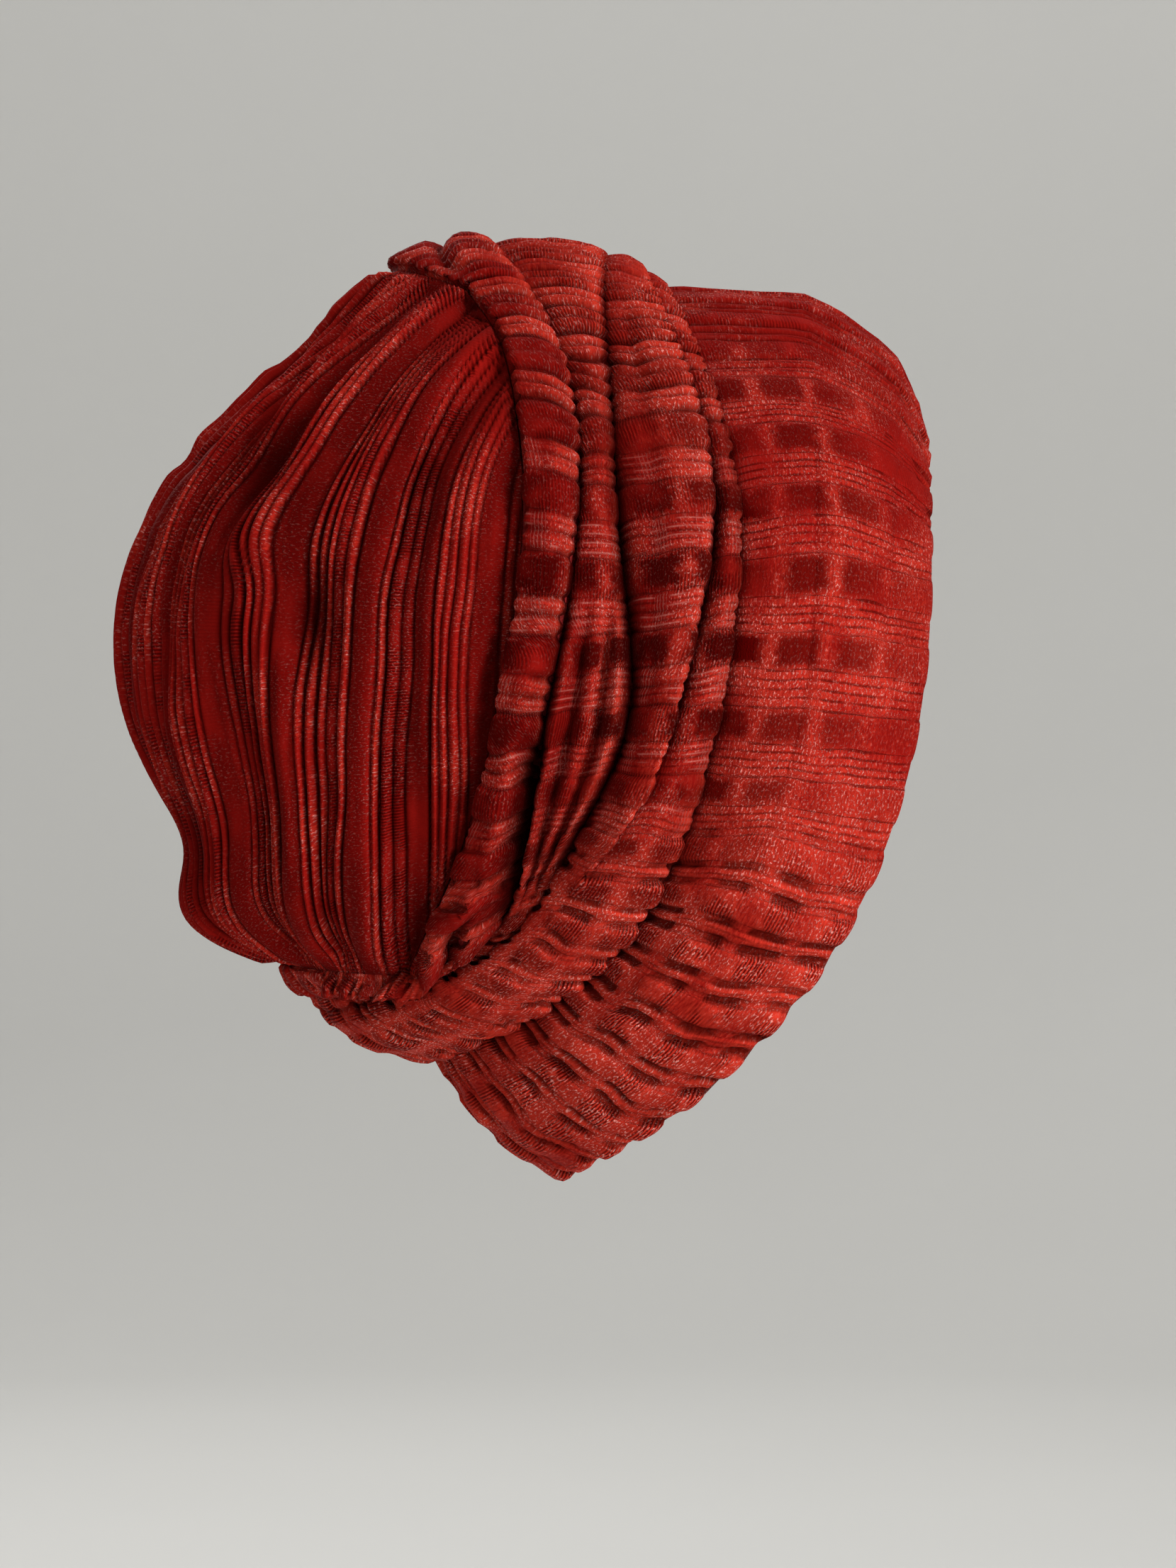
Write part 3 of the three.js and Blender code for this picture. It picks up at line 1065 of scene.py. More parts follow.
@dataclass
class FrontDrape:
    """The front panel: a wide band with a turned hem, the tucks behind it and the roll.

    Sizes are in millimetres, and that of the flat sheet in metres. Turns are angles in degrees from
    the top, or from the bottom for the calm ones by the nape. Places run across a fold from 0 at its
    front line to 1 at its back one.
    """

    shape: DrapeShape
    folds: Mapping[Strip, Fold] = field(default_factory=FOLDS.copy)
    stripe: Stripe = field(default_factory=Stripe)
    checks: Checks = field(default_factory=Checks)
    hem: TurnedHem = TurnedHem()
    pleats: SplitPleats = SplitPleats()
    ends: RollEnds = RollEnds()
    flat: Span = (0.58, 0.19)
    columns: int = 768
    column_step: int = 6
    row_step: int = 2
    seed: int = 11

    # Where the cloth changes round the head
    lower_turns: Ramp = (94.0, 126.0)
    merged_turns: Ramp = (104.0, 122.0)
    calm_turns: Ramp = (0.0, 9.0)
    top_turns: Ramp = (18.0, 46.0)
    bunched_turns: Ramp = (36.0, 64.0)
    gap_turns: Stretch = (98.0, 116.0, 12.0)
    wide_crease_turns: Stretch = (30.0, 80.0, 12.0)

    # Wall and folds
    wall: float = 1.8
    lower_wall: float = 1.8
    fold_wall: float = 1.0
    hem_wall_rise: float = 3.0
    seam_gap: float = 0.5
    seam_flat: Ramp = (0.93, 1.0)
    squeeze: float = 0.07
    wander: float = 1.8
    wander_cells: float = 5.0
    wander_apart: float = 7.0
    fold_vary: float = 0.26
    vary_cells: float = 4.0
    vary_apart: float = 5.0
    half_turn_cells: float = 32.0
    steepest: float = 0.55
    lip_most: float = 0.2
    lip_place: Bell = (0.12, 0.11)
    roll_over: float = 0.13
    roll_over_place: Bell = (0.88, 0.09)
    hold: int = 24
    scallop: float = 1.3
    scallop_upper: float = 0.5
    scallop_lower: float = 0.7
    gap_depth: float = 9.0
    gap_in_roll: Bell = (0.0, 0.22)
    gap_in_fold: Bell = (1.0, 0.10)
    wide_crease: Bell = (0.66, 0.08)
    wide_crease_depth: float = 1.2
    direction_step: float = 0.01

    # Ribs
    repeats: tuple[float, ...] = (11, 19.5, 20.5, 13.5, 11.5)
    phase: float = 3.2
    hidden: float = 6.4
    band_rib: float = 0.5
    fold_rib: float = 1.9
    fold_rise: float = 0.4
    fold_swell: float = 0.1
    bunched_more: float = 0.3
    lower_rib: float = 3.0
    lower_rise: float = 0.2
    lower_swell: float = 0.4
    swell_least: float = 0.2
    slot_least: float = 0.1
    slot_gain: float = 1.4
    slot_hollow: float = 0.55
    hem_slots: float = 0.75
    hem_slot_turns: Stretch = (14.0, 70.0, 16.0)
    fold_cords: float = 0.4
    roll_cords: float = 0.35
    top_cords: float = 0.8
    lower_loss: float = 0.1
    pleat_loss: float = 0.4
    rib_wave: Ripple = Ripple(2, 0.9, 34.0, 15.0)
    rib_wobble: Ripple = Ripple(3, 0.35, 11.0, 8.0)
    slack_wave: Ripple = Ripple(4, 1.0, 22.0, 11.0)
    slack_lower: float = 1.8
    slack_fold: float = 1.3
    depth_wave: Ripple = Ripple(1, 0.6, 11.0, 9.0, 5.0)
    crinkle: Ripple = Ripple(5, 0.3, 7.0, 6.0)
    lower_crinkle: Ripple = Ripple(3, 0.6, 9.0, 16.0, 3.0)

    def __post_init__(self) -> None:
        """Sets the angles round the head, a column of the mesh each, and what follows from them."""
        self.around = np.linspace(-math.pi, math.pi, self.columns, endpoint=False)
        self.turn = np.degrees(np.abs(self.around))
        self.lower = smooth_step(self.turn, *self.lower_turns)
        self.merged = smooth_step(self.turn, *self.merged_turns)
        self.calm = smooth_step(180.0 - self.turn, *self.calm_turns)
        self.top = 1.0 - smooth_step(self.turn, *self.top_turns)
        self.bunched = 1.0 - smooth_step(self.turn, *self.bunched_turns)
        self.split = window(self.turn, *self.pleats.turns)
        self.noise = noise_layers(self.seed)
        self.rows = self._rows()
        strips = np.array([strip for strip, _ in self.rows])[:, None]
        self.on_fold = (strips >= Strip.FRONT_FOLD).astype(float)
        self.on_roll = (strips == Strip.ROLL).astype(float)
        tuck = self.shape.points(Line.FRONT_TUCK, np.append(self.around, math.pi))
        run = np.concatenate([[0.0], np.cumsum(np.linalg.norm(np.diff(tuck, axis=0), axis=-1))])
        self.run = run[:-1]
        self.ribs = RibRow.repeating(self.stripe, self._spans(run), self.seed)
        self.lines = [self._line(line) for line in Line]
        points = [line for line, _ in self.lines]
        self.widths = [np.linalg.norm(back - front, axis=-1) for front, back in zip(points, points[1:])]

    def _rows(self) -> list[tuple[Strip, float]]:
        """Strip and place across it of each mesh row, closer together at the valleys."""
        rows = []
        for strip, fold in self.folds.items():
            for k in range(fold.rows):
                rows.append((strip, 0.5 - 0.5 * math.cos(math.pi * k / fold.rows)))
        return [*rows, (Strip.ROLL, 1.0)]

    def _spans(self, run: Array) -> Array:
        """Widths of the stripe's repeats, a whole number of them round the run in millimetres."""
        width = even_curve(self.repeats, np.append(self.around, math.pi))
        count = np.concatenate([[0.0], np.cumsum(np.diff(run) / (0.5 * (width[1:] + width[:-1])))])
        whole = round(count[-1])
        return np.diff(np.interp(np.arange(whole + 1), count * whole / count[-1], run))

    def _along(self, layer: int, cells: float, row: float) -> Array:
        """Seeded noise round the head, whose waves are drawn out over so many cells."""
        return self.noise[layer](self.around * self.half_turn_cells / math.pi / cells, row)

    def _line(self, line: Line) -> tuple[Array, Array]:
        """Points and directions of a line, column by column, with its sink and wander."""
        turn = self.around + self.shape.lag(line, self.around)
        points = self.shape.points(line, turn)
        normals = self.shape.normals(line, turn)
        if line in (Line.BAND_FRONT, Line.BAND_BACK, Line.SEAM):
            return points, normals
        across = unit(np.cross(self.shape.along(line, turn, self.direction_step), normals))
        drift = self.calm * self.wander * self._along(0, self.wander_cells, line * self.wander_apart)
        if line == Line.HEM:
            bars = self.stripe.swell(self.stripe.place(self.ribs.index(self.run + self.phase)))
            depth = self.scallop * (self.scallop_upper + self.scallop_lower * self.lower)
            drift = drift * self.lower - depth * bars
        sink = self.shape.sink(line, self.around)
        return points - normals * sink[:, None] + across * drift[:, None], normals

    def gap(self, strip: Strip, across: float) -> Array:
        """Depth of the open gap in front of the roll, where the cloth goes in out of sight."""
        reach = window(self.turn, *self.gap_turns) * self.gap_depth
        if strip == Strip.ROLL:
            return reach * bump(across, *self.gap_in_roll)
        if strip == Strip.BACK_FOLD:
            return reach * bump(across, *self.gap_in_fold)
        return np.zeros(self.columns)

    def _extra(self, strip: Strip, across: float, lining: bool) -> Array:
        """Relief that single folds have beside their own: pleats, the roll's ends and a crease."""
        if strip == Strip.BACK_FOLD:
            return self.split * self.pleats.relief(across, lining)
        if strip == Strip.ROLL:
            return self.ends.relief(self.turn, across, lining)
        if strip == Strip.WIDE_FOLD and not lining:
            crease = window(self.turn, *self.wide_crease_turns) * bump(across, *self.wide_crease)
            return -self.wide_crease_depth * crease
        return np.zeros(self.columns)

    def _depth(self, strip: Strip, across: float) -> Array:
        """How far the back of the cloth lies below its pile side, which is more where the ribs are bold."""
        rise = min(self.hem_wall_rise * across, 1.0) if strip == Strip.HEM_BAND else 1.0
        fold = self.fold_wall * self.bunched * float(strip >= Strip.FRONT_FOLD)
        return self.wall + self.lower_wall * (self.lower * rise) + fold

    def _across_fold(
        self, fold: Fold, lines: tuple[Line, Line], across: Array, extra: Array, lining: bool
    ) -> Array:
        """Points across a fold between two lines, one in each column.

        Args:
            fold: Its heights and profile.
            lines: The lines in front of it and behind it.
            across: Places across it, from 0 to 1.
            extra: Relief to add to its height, in millimetres.
            lining: Whether the points lie on the back of the cloth.

        Returns:
            Columns by 3.
        """
        (front, front_out), (back, back_out) = (self.lines[line] for line in lines)
        width = np.linalg.norm(back - front, axis=-1)
        vary = self._along(1, self.vary_cells, lines[0] * self.vary_apart)
        height = np.minimum(even_curve(fold.heights, self.around), self.steepest * width)
        height = height * fold.profile(across) * (1.0 + self.calm * self.fold_vary * vary) + extra
        seam = lines[1] == Line.SEAM
        if lining:
            place = across + self.squeeze * np.sin(2 * math.pi * across)
        else:
            lip = np.minimum(fold.lip / width, self.lip_most) * (1.0 - (1.0 - across) ** self.hold)
            place = across - lip * bump(across, *self.lip_place)
            over = seam * self.roll_over * bump(across, *self.roll_over_place)
            place = place + over * (1.0 - across**self.hold)
        if seam:
            place = place * (1.0 - self.seam_gap / width)
        out = unit(front_out + (back_out - front_out) * across[:, None])
        return front + (back - front) * place[:, None] + out * height[:, None]

    def _surface(self, lining: bool) -> Array:
        """Grid of the cloth without its ribs, row by row from the hem to the crown seam.

        Lower down the front and wide folds run together into one broad fold over the nape.

        Args:
            lining: Whether the grid lies on the back of the cloth.

        Returns:
            Points, rows by columns by 3.
        """
        grid = []
        front_width, wide_width = self.widths[Strip.FRONT_FOLD], self.widths[Strip.WIDE_FOLD]
        before = {Strip.FRONT_FOLD: 0.0, Strip.WIDE_FOLD: front_width}
        for strip, across in self.rows:
            depth = self._depth(strip, across) if lining else np.zeros(self.columns)
            extra = self._extra(strip, across, lining) - self.gap(strip, across) - depth
            places = np.full(self.columns, across)
            lines = (Line(strip), Line(strip + 1))
            points = self._across_fold(self.folds[strip], lines, places, extra, lining)
            if strip in before:
                places = (across * self.widths[strip] + before[strip]) / (front_width + wide_width)
                lines = (Line.FRONT_TUCK, Line.BACK_TUCK)
                broad = self._across_fold(NAPE_FOLD, lines, places, -depth, lining)
                points = points + (broad - points) * self.merged[:, None]
            grid.append(points)
        return np.array(grid)

    def _coordinates(self, grid: Array) -> tuple[Array, Array]:
        """Cloth coordinates: millimetres round the head, and back from the front tuck, which hides some."""
        steps = np.linalg.norm(np.diff(grid, axis=0), axis=-1)
        back = np.vstack([np.zeros(self.columns), np.cumsum(steps, axis=0)])
        first = int(np.argmax(self.on_fold))
        tucked = self.hidden * (np.arange(len(back)) > first)[:, None]
        return np.broadcast_to(self.run, back.shape), back - back[first] + tucked

    def _index(self, u: Array, v: Array) -> Array:
        """Places across the cloth in ribs, with the ribs' own waves."""
        slack = self.lower * self.slack_lower + self.slack_fold * self.on_fold
        wobble = self.rib_wave.over(self.noise, u, v) + self.rib_wobble.over(self.noise, u, v)
        wobble = wobble + slack * self.slack_wave.over(self.noise, u, v)
        return self.ribs.index(u + self.phase + self.calm * wobble)

    def kinds(self) -> tuple[Array, Array]:
        """Shares of corded and slotted relief by row and column; the rest has fine grooves."""
        by_hem = np.array([(1.0 - across) * (strip == Strip.HEM_BAND) for strip, across in self.rows])
        at_hem = self.hem_slots * by_hem[:, None] * window(self.turn, *self.hem_slot_turns)
        slotted = np.maximum(self.lower, at_hem)
        calm = self.fold_cords + self.roll_cords * self.on_roll
        corded = self.on_fold * (calm + (1.0 - calm) * self.bunched)
        return np.maximum(corded, self.top_cords * self.top) * (1.0 - slotted), slotted

    def _ribs(self, u: Array, v: Array, index: Array) -> tuple[Array, Array, Array]:
        """Relief of the ribs and crinkles.

        Args:
            u: Millimetres round the head.
            v: Millimetres back from the front tuck.
            index: Places across the cloth in ribs.

        Returns:
            The relief in millimetres, and how hollow and how slotted it is, from 0 to 1.
        """
        corded, slotted = self.kinds()
        place = self.stripe.place(index)
        inside = self.checks.inside(self.checks.index(v))
        vary = 1.0 + self.calm * self.depth_wave.over(self.noise, u, v)
        cords = self.stripe.corded(place)
        cords = (cords + (self.stripe.bunched(place) - cords) * self.bunched * self.on_fold) * vary
        cords = np.minimum(cords, 1.0)
        open_slots = (self.slot_least + (1.0 - self.slot_least) * inside) * vary
        slots = np.minimum(self.stripe.slotted(place) * open_slots * self.slot_gain, 1.0)
        swell = self.stripe.swell(place) * (self.swell_least + (1.0 - self.swell_least) * inside)
        fold_rib = self.fold_rib * (1.0 + self.bunched_more * self.bunched)
        ribs = -self.band_rib * self.stripe.fine(place) * (1.0 - corded - slotted)
        ribs = ribs + fold_rib * corded * (self.fold_rise - cords + self.fold_swell * swell)
        ribs = ribs + self.lower_rib * slotted * (self.lower_rise - slots + self.lower_swell * swell)
        crinkle = self.crinkle.over(self.noise, u, v)
        crinkle = crinkle + self.lower * self.lower_crinkle.over(self.noise, u, v)
        hollow = np.clip(corded * cords + self.slot_hollow * slotted * slots, 0.0, 1.0)
        bold = self._bold()
        return (ribs + self.calm * crinkle) * bold, hollow * bold, slotted * open_slots * bold

    def _bold(self) -> Array:
        """Share of the ribs' relief by row and column: the lower folds and the split pleats have less."""
        bold = np.ones((len(self.rows), self.columns))
        for row, (strip, _) in enumerate(self.rows):
            if strip == Strip.BACK_FOLD:
                bold[row] -= self.pleat_loss * self.lower + self.pleat_loss * self.split
            elif strip >= Strip.FRONT_FOLD:
                bold[row] -= self.lower_loss * self.lower
        return bold

    def build(self) -> bpy.types.Object:
        """Builds the mesh of the panel.

        Returns:
            The finished object, without materials.
        """
        smooth = self._surface(lining=False)
        u, v = self._coordinates(smooth)
        index = self._index(u, v)
        relief, hollow, slot = self._ribs(u, v, index)
        places = np.array([across for _, across in self.rows])[:, None]
        sewn = 1.0 - self.on_roll * smooth_step(places, *self.seam_flat)
        share, sunk = self.hem.relief(v - v[0])
        outer = smooth + grid_normals(smooth, True) * (relief * sewn * share - sunk)[..., None]
        cloth = np.stack([index, self.checks.index(v)], axis=-1)
        tones = DrapeNapAndPaintedLight(self).tones(v, index, hollow, slot)
        shell = ClothShell(True, self.ribs.count)
        shell.close(outer, self._surface(lining=True), cloth, tones, (self.row_step, self.column_step))
        return shell.object("front_drape_cloth")


@dataclass
class CrownPouch:
    """The slouch pouch: ribs from the top gather to the lower edge, with pleats and dents.

    Sizes are in millimetres, and that of the flat sheet in metres. Places run down from 0 at the top
    gather to 1 at the lower edge, and round from -1 at the left seam over 0 at the back to 1 at the
    right seam.
    """

    shape: CrownShape
    dents: tuple[Dent, ...] = DENTS + PINCHES
    checks: Checks = field(default_factory=Checks)
    flat: Span = (0.30, 0.22)
    columns: int = 720
    rows: int = 116
    column_step: int = 8
    seed: int = 41

    # How the ribs hang
    depth: float = 230.0
    rib_ends: tuple[float, ...] = (-46, -50, -55, -59, -61, -62, -62, -62, -62)
    upper_draw: float = 60.0
    lower_draw: float = 28.0
    foot_draw: float = 12.0
    lower_from: Ramp = (0.35, 0.7)
    foot_from: Ramp = (0.7, 0.95)
    widest_turn: float = 0.75 * math.pi
    turn_steps: int = 136
    drift_wave: Ripple = Ripple(0, 2.2, 28.0, 60.0, 9.0)
    drift_wobble: Ripple = Ripple(1, 0.9, 9.0, 34.0)
    bend_wave: Ripple = Ripple(5, 4.5, 24.0, 24.0)
    bend_down: Bell = (0.4, 0.16)
    bend_around: Bell = (0.45, 0.3)

    # Relief
    wall: float = 2.4
    rib: float = 2.6
    rib_level: float = 0.72
    rib_vary: Ripple = Ripple(2, 0.35, 8.0, 90.0)
    wrinkle: Ripple = Ripple(5, 0.25, 4.0, 9.0)
    fine_wrinkle: Ripple = Ripple(1, 0.55, 2.9, 30.0, 7.0)
    pleat: float = 1.3
    pleat_period: float = 27.0
    pleat_drift: float = 1.5
    pleat_wave: Ripple = Ripple(3, 2.0, 40.0, 90.0)
    gathered_until: Ramp = (0.04, 0.5)
    gathered_more: float = 1.6
    foot_pleats_from: Ramp = (0.8, 0.98)
    foot_more: float = 0.8
    slack_wave: Ripple = Ripple(4, 2.2, 22.0, 40.0)
    pucker: Ripple = Ripple(2, 1.1, 26.0, 7.0, 3.0)
    pucker_around: Bell = (0.0, 0.3)
    pucker_down: Stretch = (0.08, 0.4, 0.1)
    under_around: Bell = (0.0, 0.22)
    under_from: Ramp = (0.66, 0.84)
    under_loss: float = 0.5
    sewn_edge: float = 0.03

    # Tones
    dent_shade: float = 0.1
    pleat_shade: float = 0.25
    pleat_shade_level: float = 0.2
    roll_shade: float = 0.5
    roll_reach: float = 0.05
    groove_shade_relief: Ramp = (-0.64, -0.15)
    bar_dark: float = 0.68
    # Strength of the painted shade in the grooves
    line: float = 0.4
    ladder_comb: float = 0.9
    plain_comb: float = 0.15
    ridge_crush: float = -0.16
    plain_crush: float = -0.54

    def __post_init__(self) -> None:
        """Sets the places of the mesh's points and the cloth coordinates there."""
        self.down, self.around = np.meshgrid(
            np.linspace(0.0, 1.0, self.rows + 1), np.linspace(-1.0, 1.0, self.columns + 1), indexing="ij"
        )
        self.noise = noise_layers(self.seed)
        self.smooth = self.shape.smooth(self.down, self.around)
        self.u = self._across()
        self.v = self.down * self.depth
        slack = bump(self.down, *self.bend_down) * bump(np.abs(self.around), *self.bend_around)
        drift = self._ripple(self.drift_wave) + self._ripple(self.bend_wave) * slack
        self.drift = drift + self._ripple(self.drift_wobble)

    def _ripple(self, ripple: Ripple) -> Array:
        """Height of seeded waves at each point."""
        return ripple.over(self.noise, self.u, self.v)

    def _across(self) -> Array:
        """Places across the ribs in millimetres from the back.

        The ribs hang as if the pouch went on to `rib_ends`, given in x at the sections, so that the
        sewn edge cuts the outer ones off. Near the back they are drawn along with its outline.
        """
        back = catmull_rom(self.shape.back, self.down)[..., 0]
        end = catmull_rom(np.array(self.rib_ends, float)[:, None], self.down)[..., 0]
        widest = self.shape.back[:, 0].min()
        x = self.smooth[..., 0]
        lower, foot = (smooth_step(self.down, *ramp) for ramp in (self.lower_from, self.foot_from))
        draw = self.upper_draw + (self.lower_draw - self.upper_draw) * lower
        draw = draw + (self.foot_draw - self.lower_draw) * foot
        hung = x - (back - widest) * np.exp(-(x - back) / draw)
        angle = np.arccos(np.clip((hung - end) / (widest - end), -1.0, 1.0))
        middle = len(self.shape.seam) // 2
        width = self.shape.seam[middle][1]
        reach = self.shape.seam[middle][0] - self.shape.back[middle][0]
        turn = np.linspace(0.0, self.widest_turn, self.turn_steps)
        steps = np.hypot(reach * np.sin(turn), width * np.cos(turn)) * (turn[1] - turn[0])
        run = np.cumsum(steps) - steps[0]
        return np.sign(self.around) * np.interp(angle, turn, run)

    def _fade(self) -> Array:
        """Share of the relief that is left near the sewn edges."""
        edge = np.minimum(np.minimum(self.down, 1.0 - self.down), 1.0 - np.abs(self.around))
        return smooth_step(edge, 0.0, self.sewn_edge)

    def _dents(self) -> Array:
        """Depth of the dents in millimetres."""
        depth = np.zeros_like(self.down)
        for dent in self.dents:
            along = bump(self.down, dent.down, dent.spread_down)
            depth += dent.depth * along * bump(np.abs(self.around), dent.around, dent.spread_around)
        return depth

    def _waves(self) -> Array:
        """The pleats, from -1 in a valley to 1 on a crest."""
        turn = (self.u + self.drift * self.pleat_drift) / self.pleat_period
        return np.cos(2 * math.pi * turn + self._ripple(self.pleat_wave))

    def _slack(self, waves: Array, dents: Array) -> Array:
        """Height of the loose cloth over the smooth pouch: pleats, waves, upper puckers and dents."""
        gathered = 1.0 - smooth_step(self.down, *self.gathered_until)
        foot = smooth_step(self.down, *self.foot_pleats_from)
        slack = self.pleat * (1.0 + self.gathered_more * gathered + self.foot_more * foot) * waves
        slack = slack + self._ripple(self.slack_wave) - dents
        upper_back = bump(self.around, *self.pucker_around) * window(self.down, *self.pucker_down)
        return slack + upper_back * self._ripple(self.pucker)

    def _ribs(self, relief: Array) -> Array:
        """Height of the ribs with their wrinkles, which lie flatter under the back."""
        wrinkles = self._ripple(self.wrinkle)
        wrinkles = wrinkles + self.fine_wrinkle.over(self.noise, self.u + self.drift, self.v)
        ribs = self.rib * (1.0 + self._ripple(self.rib_vary)) * (relief - self.rib_level) + wrinkles
        under = bump(self.around, *self.under_around) * smooth_step(self.down, *self.under_from)
        return ribs * (1.0 - self.under_loss * under)

    def _tones(self, row: RibRow, index: Array, waves: Array, dents: Array) -> Array:
        """Values of the tones at each point.

        Args:
            row: The ribs.
            index: Places across the cloth in ribs.
            waves: The pleats, from -1 to 1.
            dents: Depth of the dents in millimetres.

        Returns:
            Rows by columns by tones.
        """
        # Painted shade in the dents and pleat valleys, a painted shadow under the roll's edge, and painted
        # shade in the rib grooves
        under_roll = bump(1.0 - np.abs(self.around), 0.0, self.roll_reach)
        shade = self.dent_shade * dents
        shade = shade + self.pleat_shade * (self.pleat_shade_level - waves).clip(0.0)
        shade = shade + self.roll_shade * under_roll + smooth_step(-row.relief(index), *self.groove_shade_relief)
        pile = row.of_rib(row.piles, index)
        ladder = (pile > LADDER_PILE) & (pile < BAR_PILE)
        tones = {
            Tone.PILE: pile,
            Tone.PITCH: row.of_rib(row.widths, index),
            Tone.BAR: self.bar_dark,
            Tone.SQUARE: self.bar_dark,
            Tone.LINE: self.line,
            Tone.COMB: np.where(ladder, self.ladder_comb, self.plain_comb),
            Tone.THREAD: 0.0,
            Tone.CRUSH: np.where(pile < LADDER_PILE, self.ridge_crush, self.plain_crush),
            Tone.SHADE: np.clip(shade, 0.0, 1.0),
            Tone.SLOT: 0.0,
        }
        return stack_tones(tones, shade.shape)

    def build(self) -> bpy.types.Object:
        """Builds the mesh of the pouch.

        Returns:
            The finished object, without materials.
        """
        across = self.u + self.drift
        row = RibRow.gathered(np.ptp(across), self.seed)
        index = row.index(across - across.min())
        waves, dents, fade = self._waves(), self._dents(), self._fade()
        slack = self._slack(waves, dents)
        out = grid_normals(self.smooth, False)
        outer = self.smooth + out * ((slack + self._ribs(row.relief(index))) * fade)[..., None]
        lining = self.smooth + out * (slack * fade - self.wall)[..., None]
        cloth = np.stack([index, self.checks.index(self.v)], axis=-1)
        shell = ClothShell(False, row.count)
        shell.close(outer, lining, cloth, self._tones(row, index, waves, dents), (1, self.column_step))
        return shell.object("crown_cloth")


# Materials


class Wire:
    """An output socket that takes part in Python sums, each of which adds a Math node."""

    def __init__(self, graph: "Graph", socket: bpy.types.NodeSocket) -> None:
        """Keeps the socket and the graph that new nodes go to."""
        self.graph = graph
        self.socket = socket

    def _math(self, operation: str, *values: Number) -> "Wire":
        """A Math node on these values."""
        return self.graph.node("ShaderNodeMath", {"operation": operation}, dict(enumerate(values)))

    def __add__(self, other: Number) -> "Wire":
        """Sum."""
        return self._math("ADD", self, other)

    __radd__ = __add__

    def __sub__(self, other: Number) -> "Wire":
        """Difference."""
        return self._math("SUBTRACT", self, other)

    def __rsub__(self, other: Number) -> "Wire":
        """Difference from a number."""
        return self._math("SUBTRACT", other, self)

    def __mul__(self, other: Number) -> "Wire":
        """Product."""
        return self._math("MULTIPLY", self, other)

    __rmul__ = __mul__

    def __truediv__(self, other: Number) -> "Wire":
        """Quotient."""
        return self._math("DIVIDE", self, other)

    def fraction(self) -> "Wire":
        """Part after the whole number."""
        return self._math("FRACT", self)

    def size(self) -> "Wire":
        """Value without its sign."""
        return self._math("ABSOLUTE", self)

    def least(self, other: Number) -> "Wire":
        """Lower of two values."""
        return self._math("MINIMUM", self, other)

    def most(self, other: Number) -> "Wire":
        """Higher of two values."""
        return self._math("MAXIMUM", self, other)

    def rise(self, low: float, high: float) -> "Wire":
        """Zero below low and one above high, smooth between them; low may be the higher one."""
        settings = {"interpolation_type": "SMOOTHSTEP", "clamp": True}
        inputs = {"Value": self, "From Min": low, "From Max": high, "To Min": 0.0, "To Max": 1.0}
        return self.graph.node("ShaderNodeMapRange", settings, inputs)


# Colour sockets of a Mix node, whose names other kinds of data share
MIX_FIRST = 6
MIX_SECOND = 7
MIX_RESULT = 2


class Graph:
    """The node tree of one material."""

    def __init__(self, name: str) -> None:
        """Starts an empty tree."""
        self.material = bpy.data.materials.new(name)
        self.material.use_nodes = True
        self.tree = self.material.node_tree
        self.tree.nodes.clear()

    def node(
        self,
        kind: str,
        settings: dict[str, Any],
        inputs: dict[Union[str, int], Any],
        output: Union[str, int] = 0,
    ) -> Wire:
        """Adds a node.

        Args:
            kind: Blender's name for the node.
            settings: Its properties, set first.
            inputs: Values or wires by socket name or number.
            output: The output that is wanted.

        Returns:
            That output.
        """
        made = self.tree.nodes.new(kind)
        for key, value in settings.items():
            setattr(made, key, value)
        for key, value in inputs.items():
            if isinstance(value, Wire):
                self.tree.links.new(value.socket, made.inputs[key])
            else:
                made.inputs[key].default_value = value
        return Wire(self, made.outputs[output])

    def mix(self, share: Number, first: Any, second: Any) -> Wire:
        """Colour between two colours; a colour is a triple or a wire."""
        first, second = (c if isinstance(c, Wire) else (*c, 1.0) for c in (first, second))
        inputs = {0: share, MIX_FIRST: first, MIX_SECOND: second}
        return self.node("ShaderNodeMix", {"data_type": "RGBA"}, inputs, MIX_RESULT)

    def noise(self, place: Wire, scale: float, detail: float = 2.0, rough: float = 0.5) -> Wire:
        """Noise from 0 to 1 at a place."""
        inputs = {"Vector": place, "Scale": scale, "Detail": detail, "Roughness": rough}
        return self.node("ShaderNodeTexNoise", {"noise_dimensions": "3D"}, inputs)

    def vector(self, x: Number, y: Number) -> Wire:
        """Vector of two values."""
        return self.node("ShaderNodeCombineXYZ", {}, {0: x, 1: y})

    def finish(self, shader: Wire) -> bpy.types.Material:
        """Links a shader to the output and returns the material."""
        output = self.tree.nodes.new("ShaderNodeOutputMaterial")
        self.tree.links.new(shader.socket, output.inputs["Surface"])
        return self.material


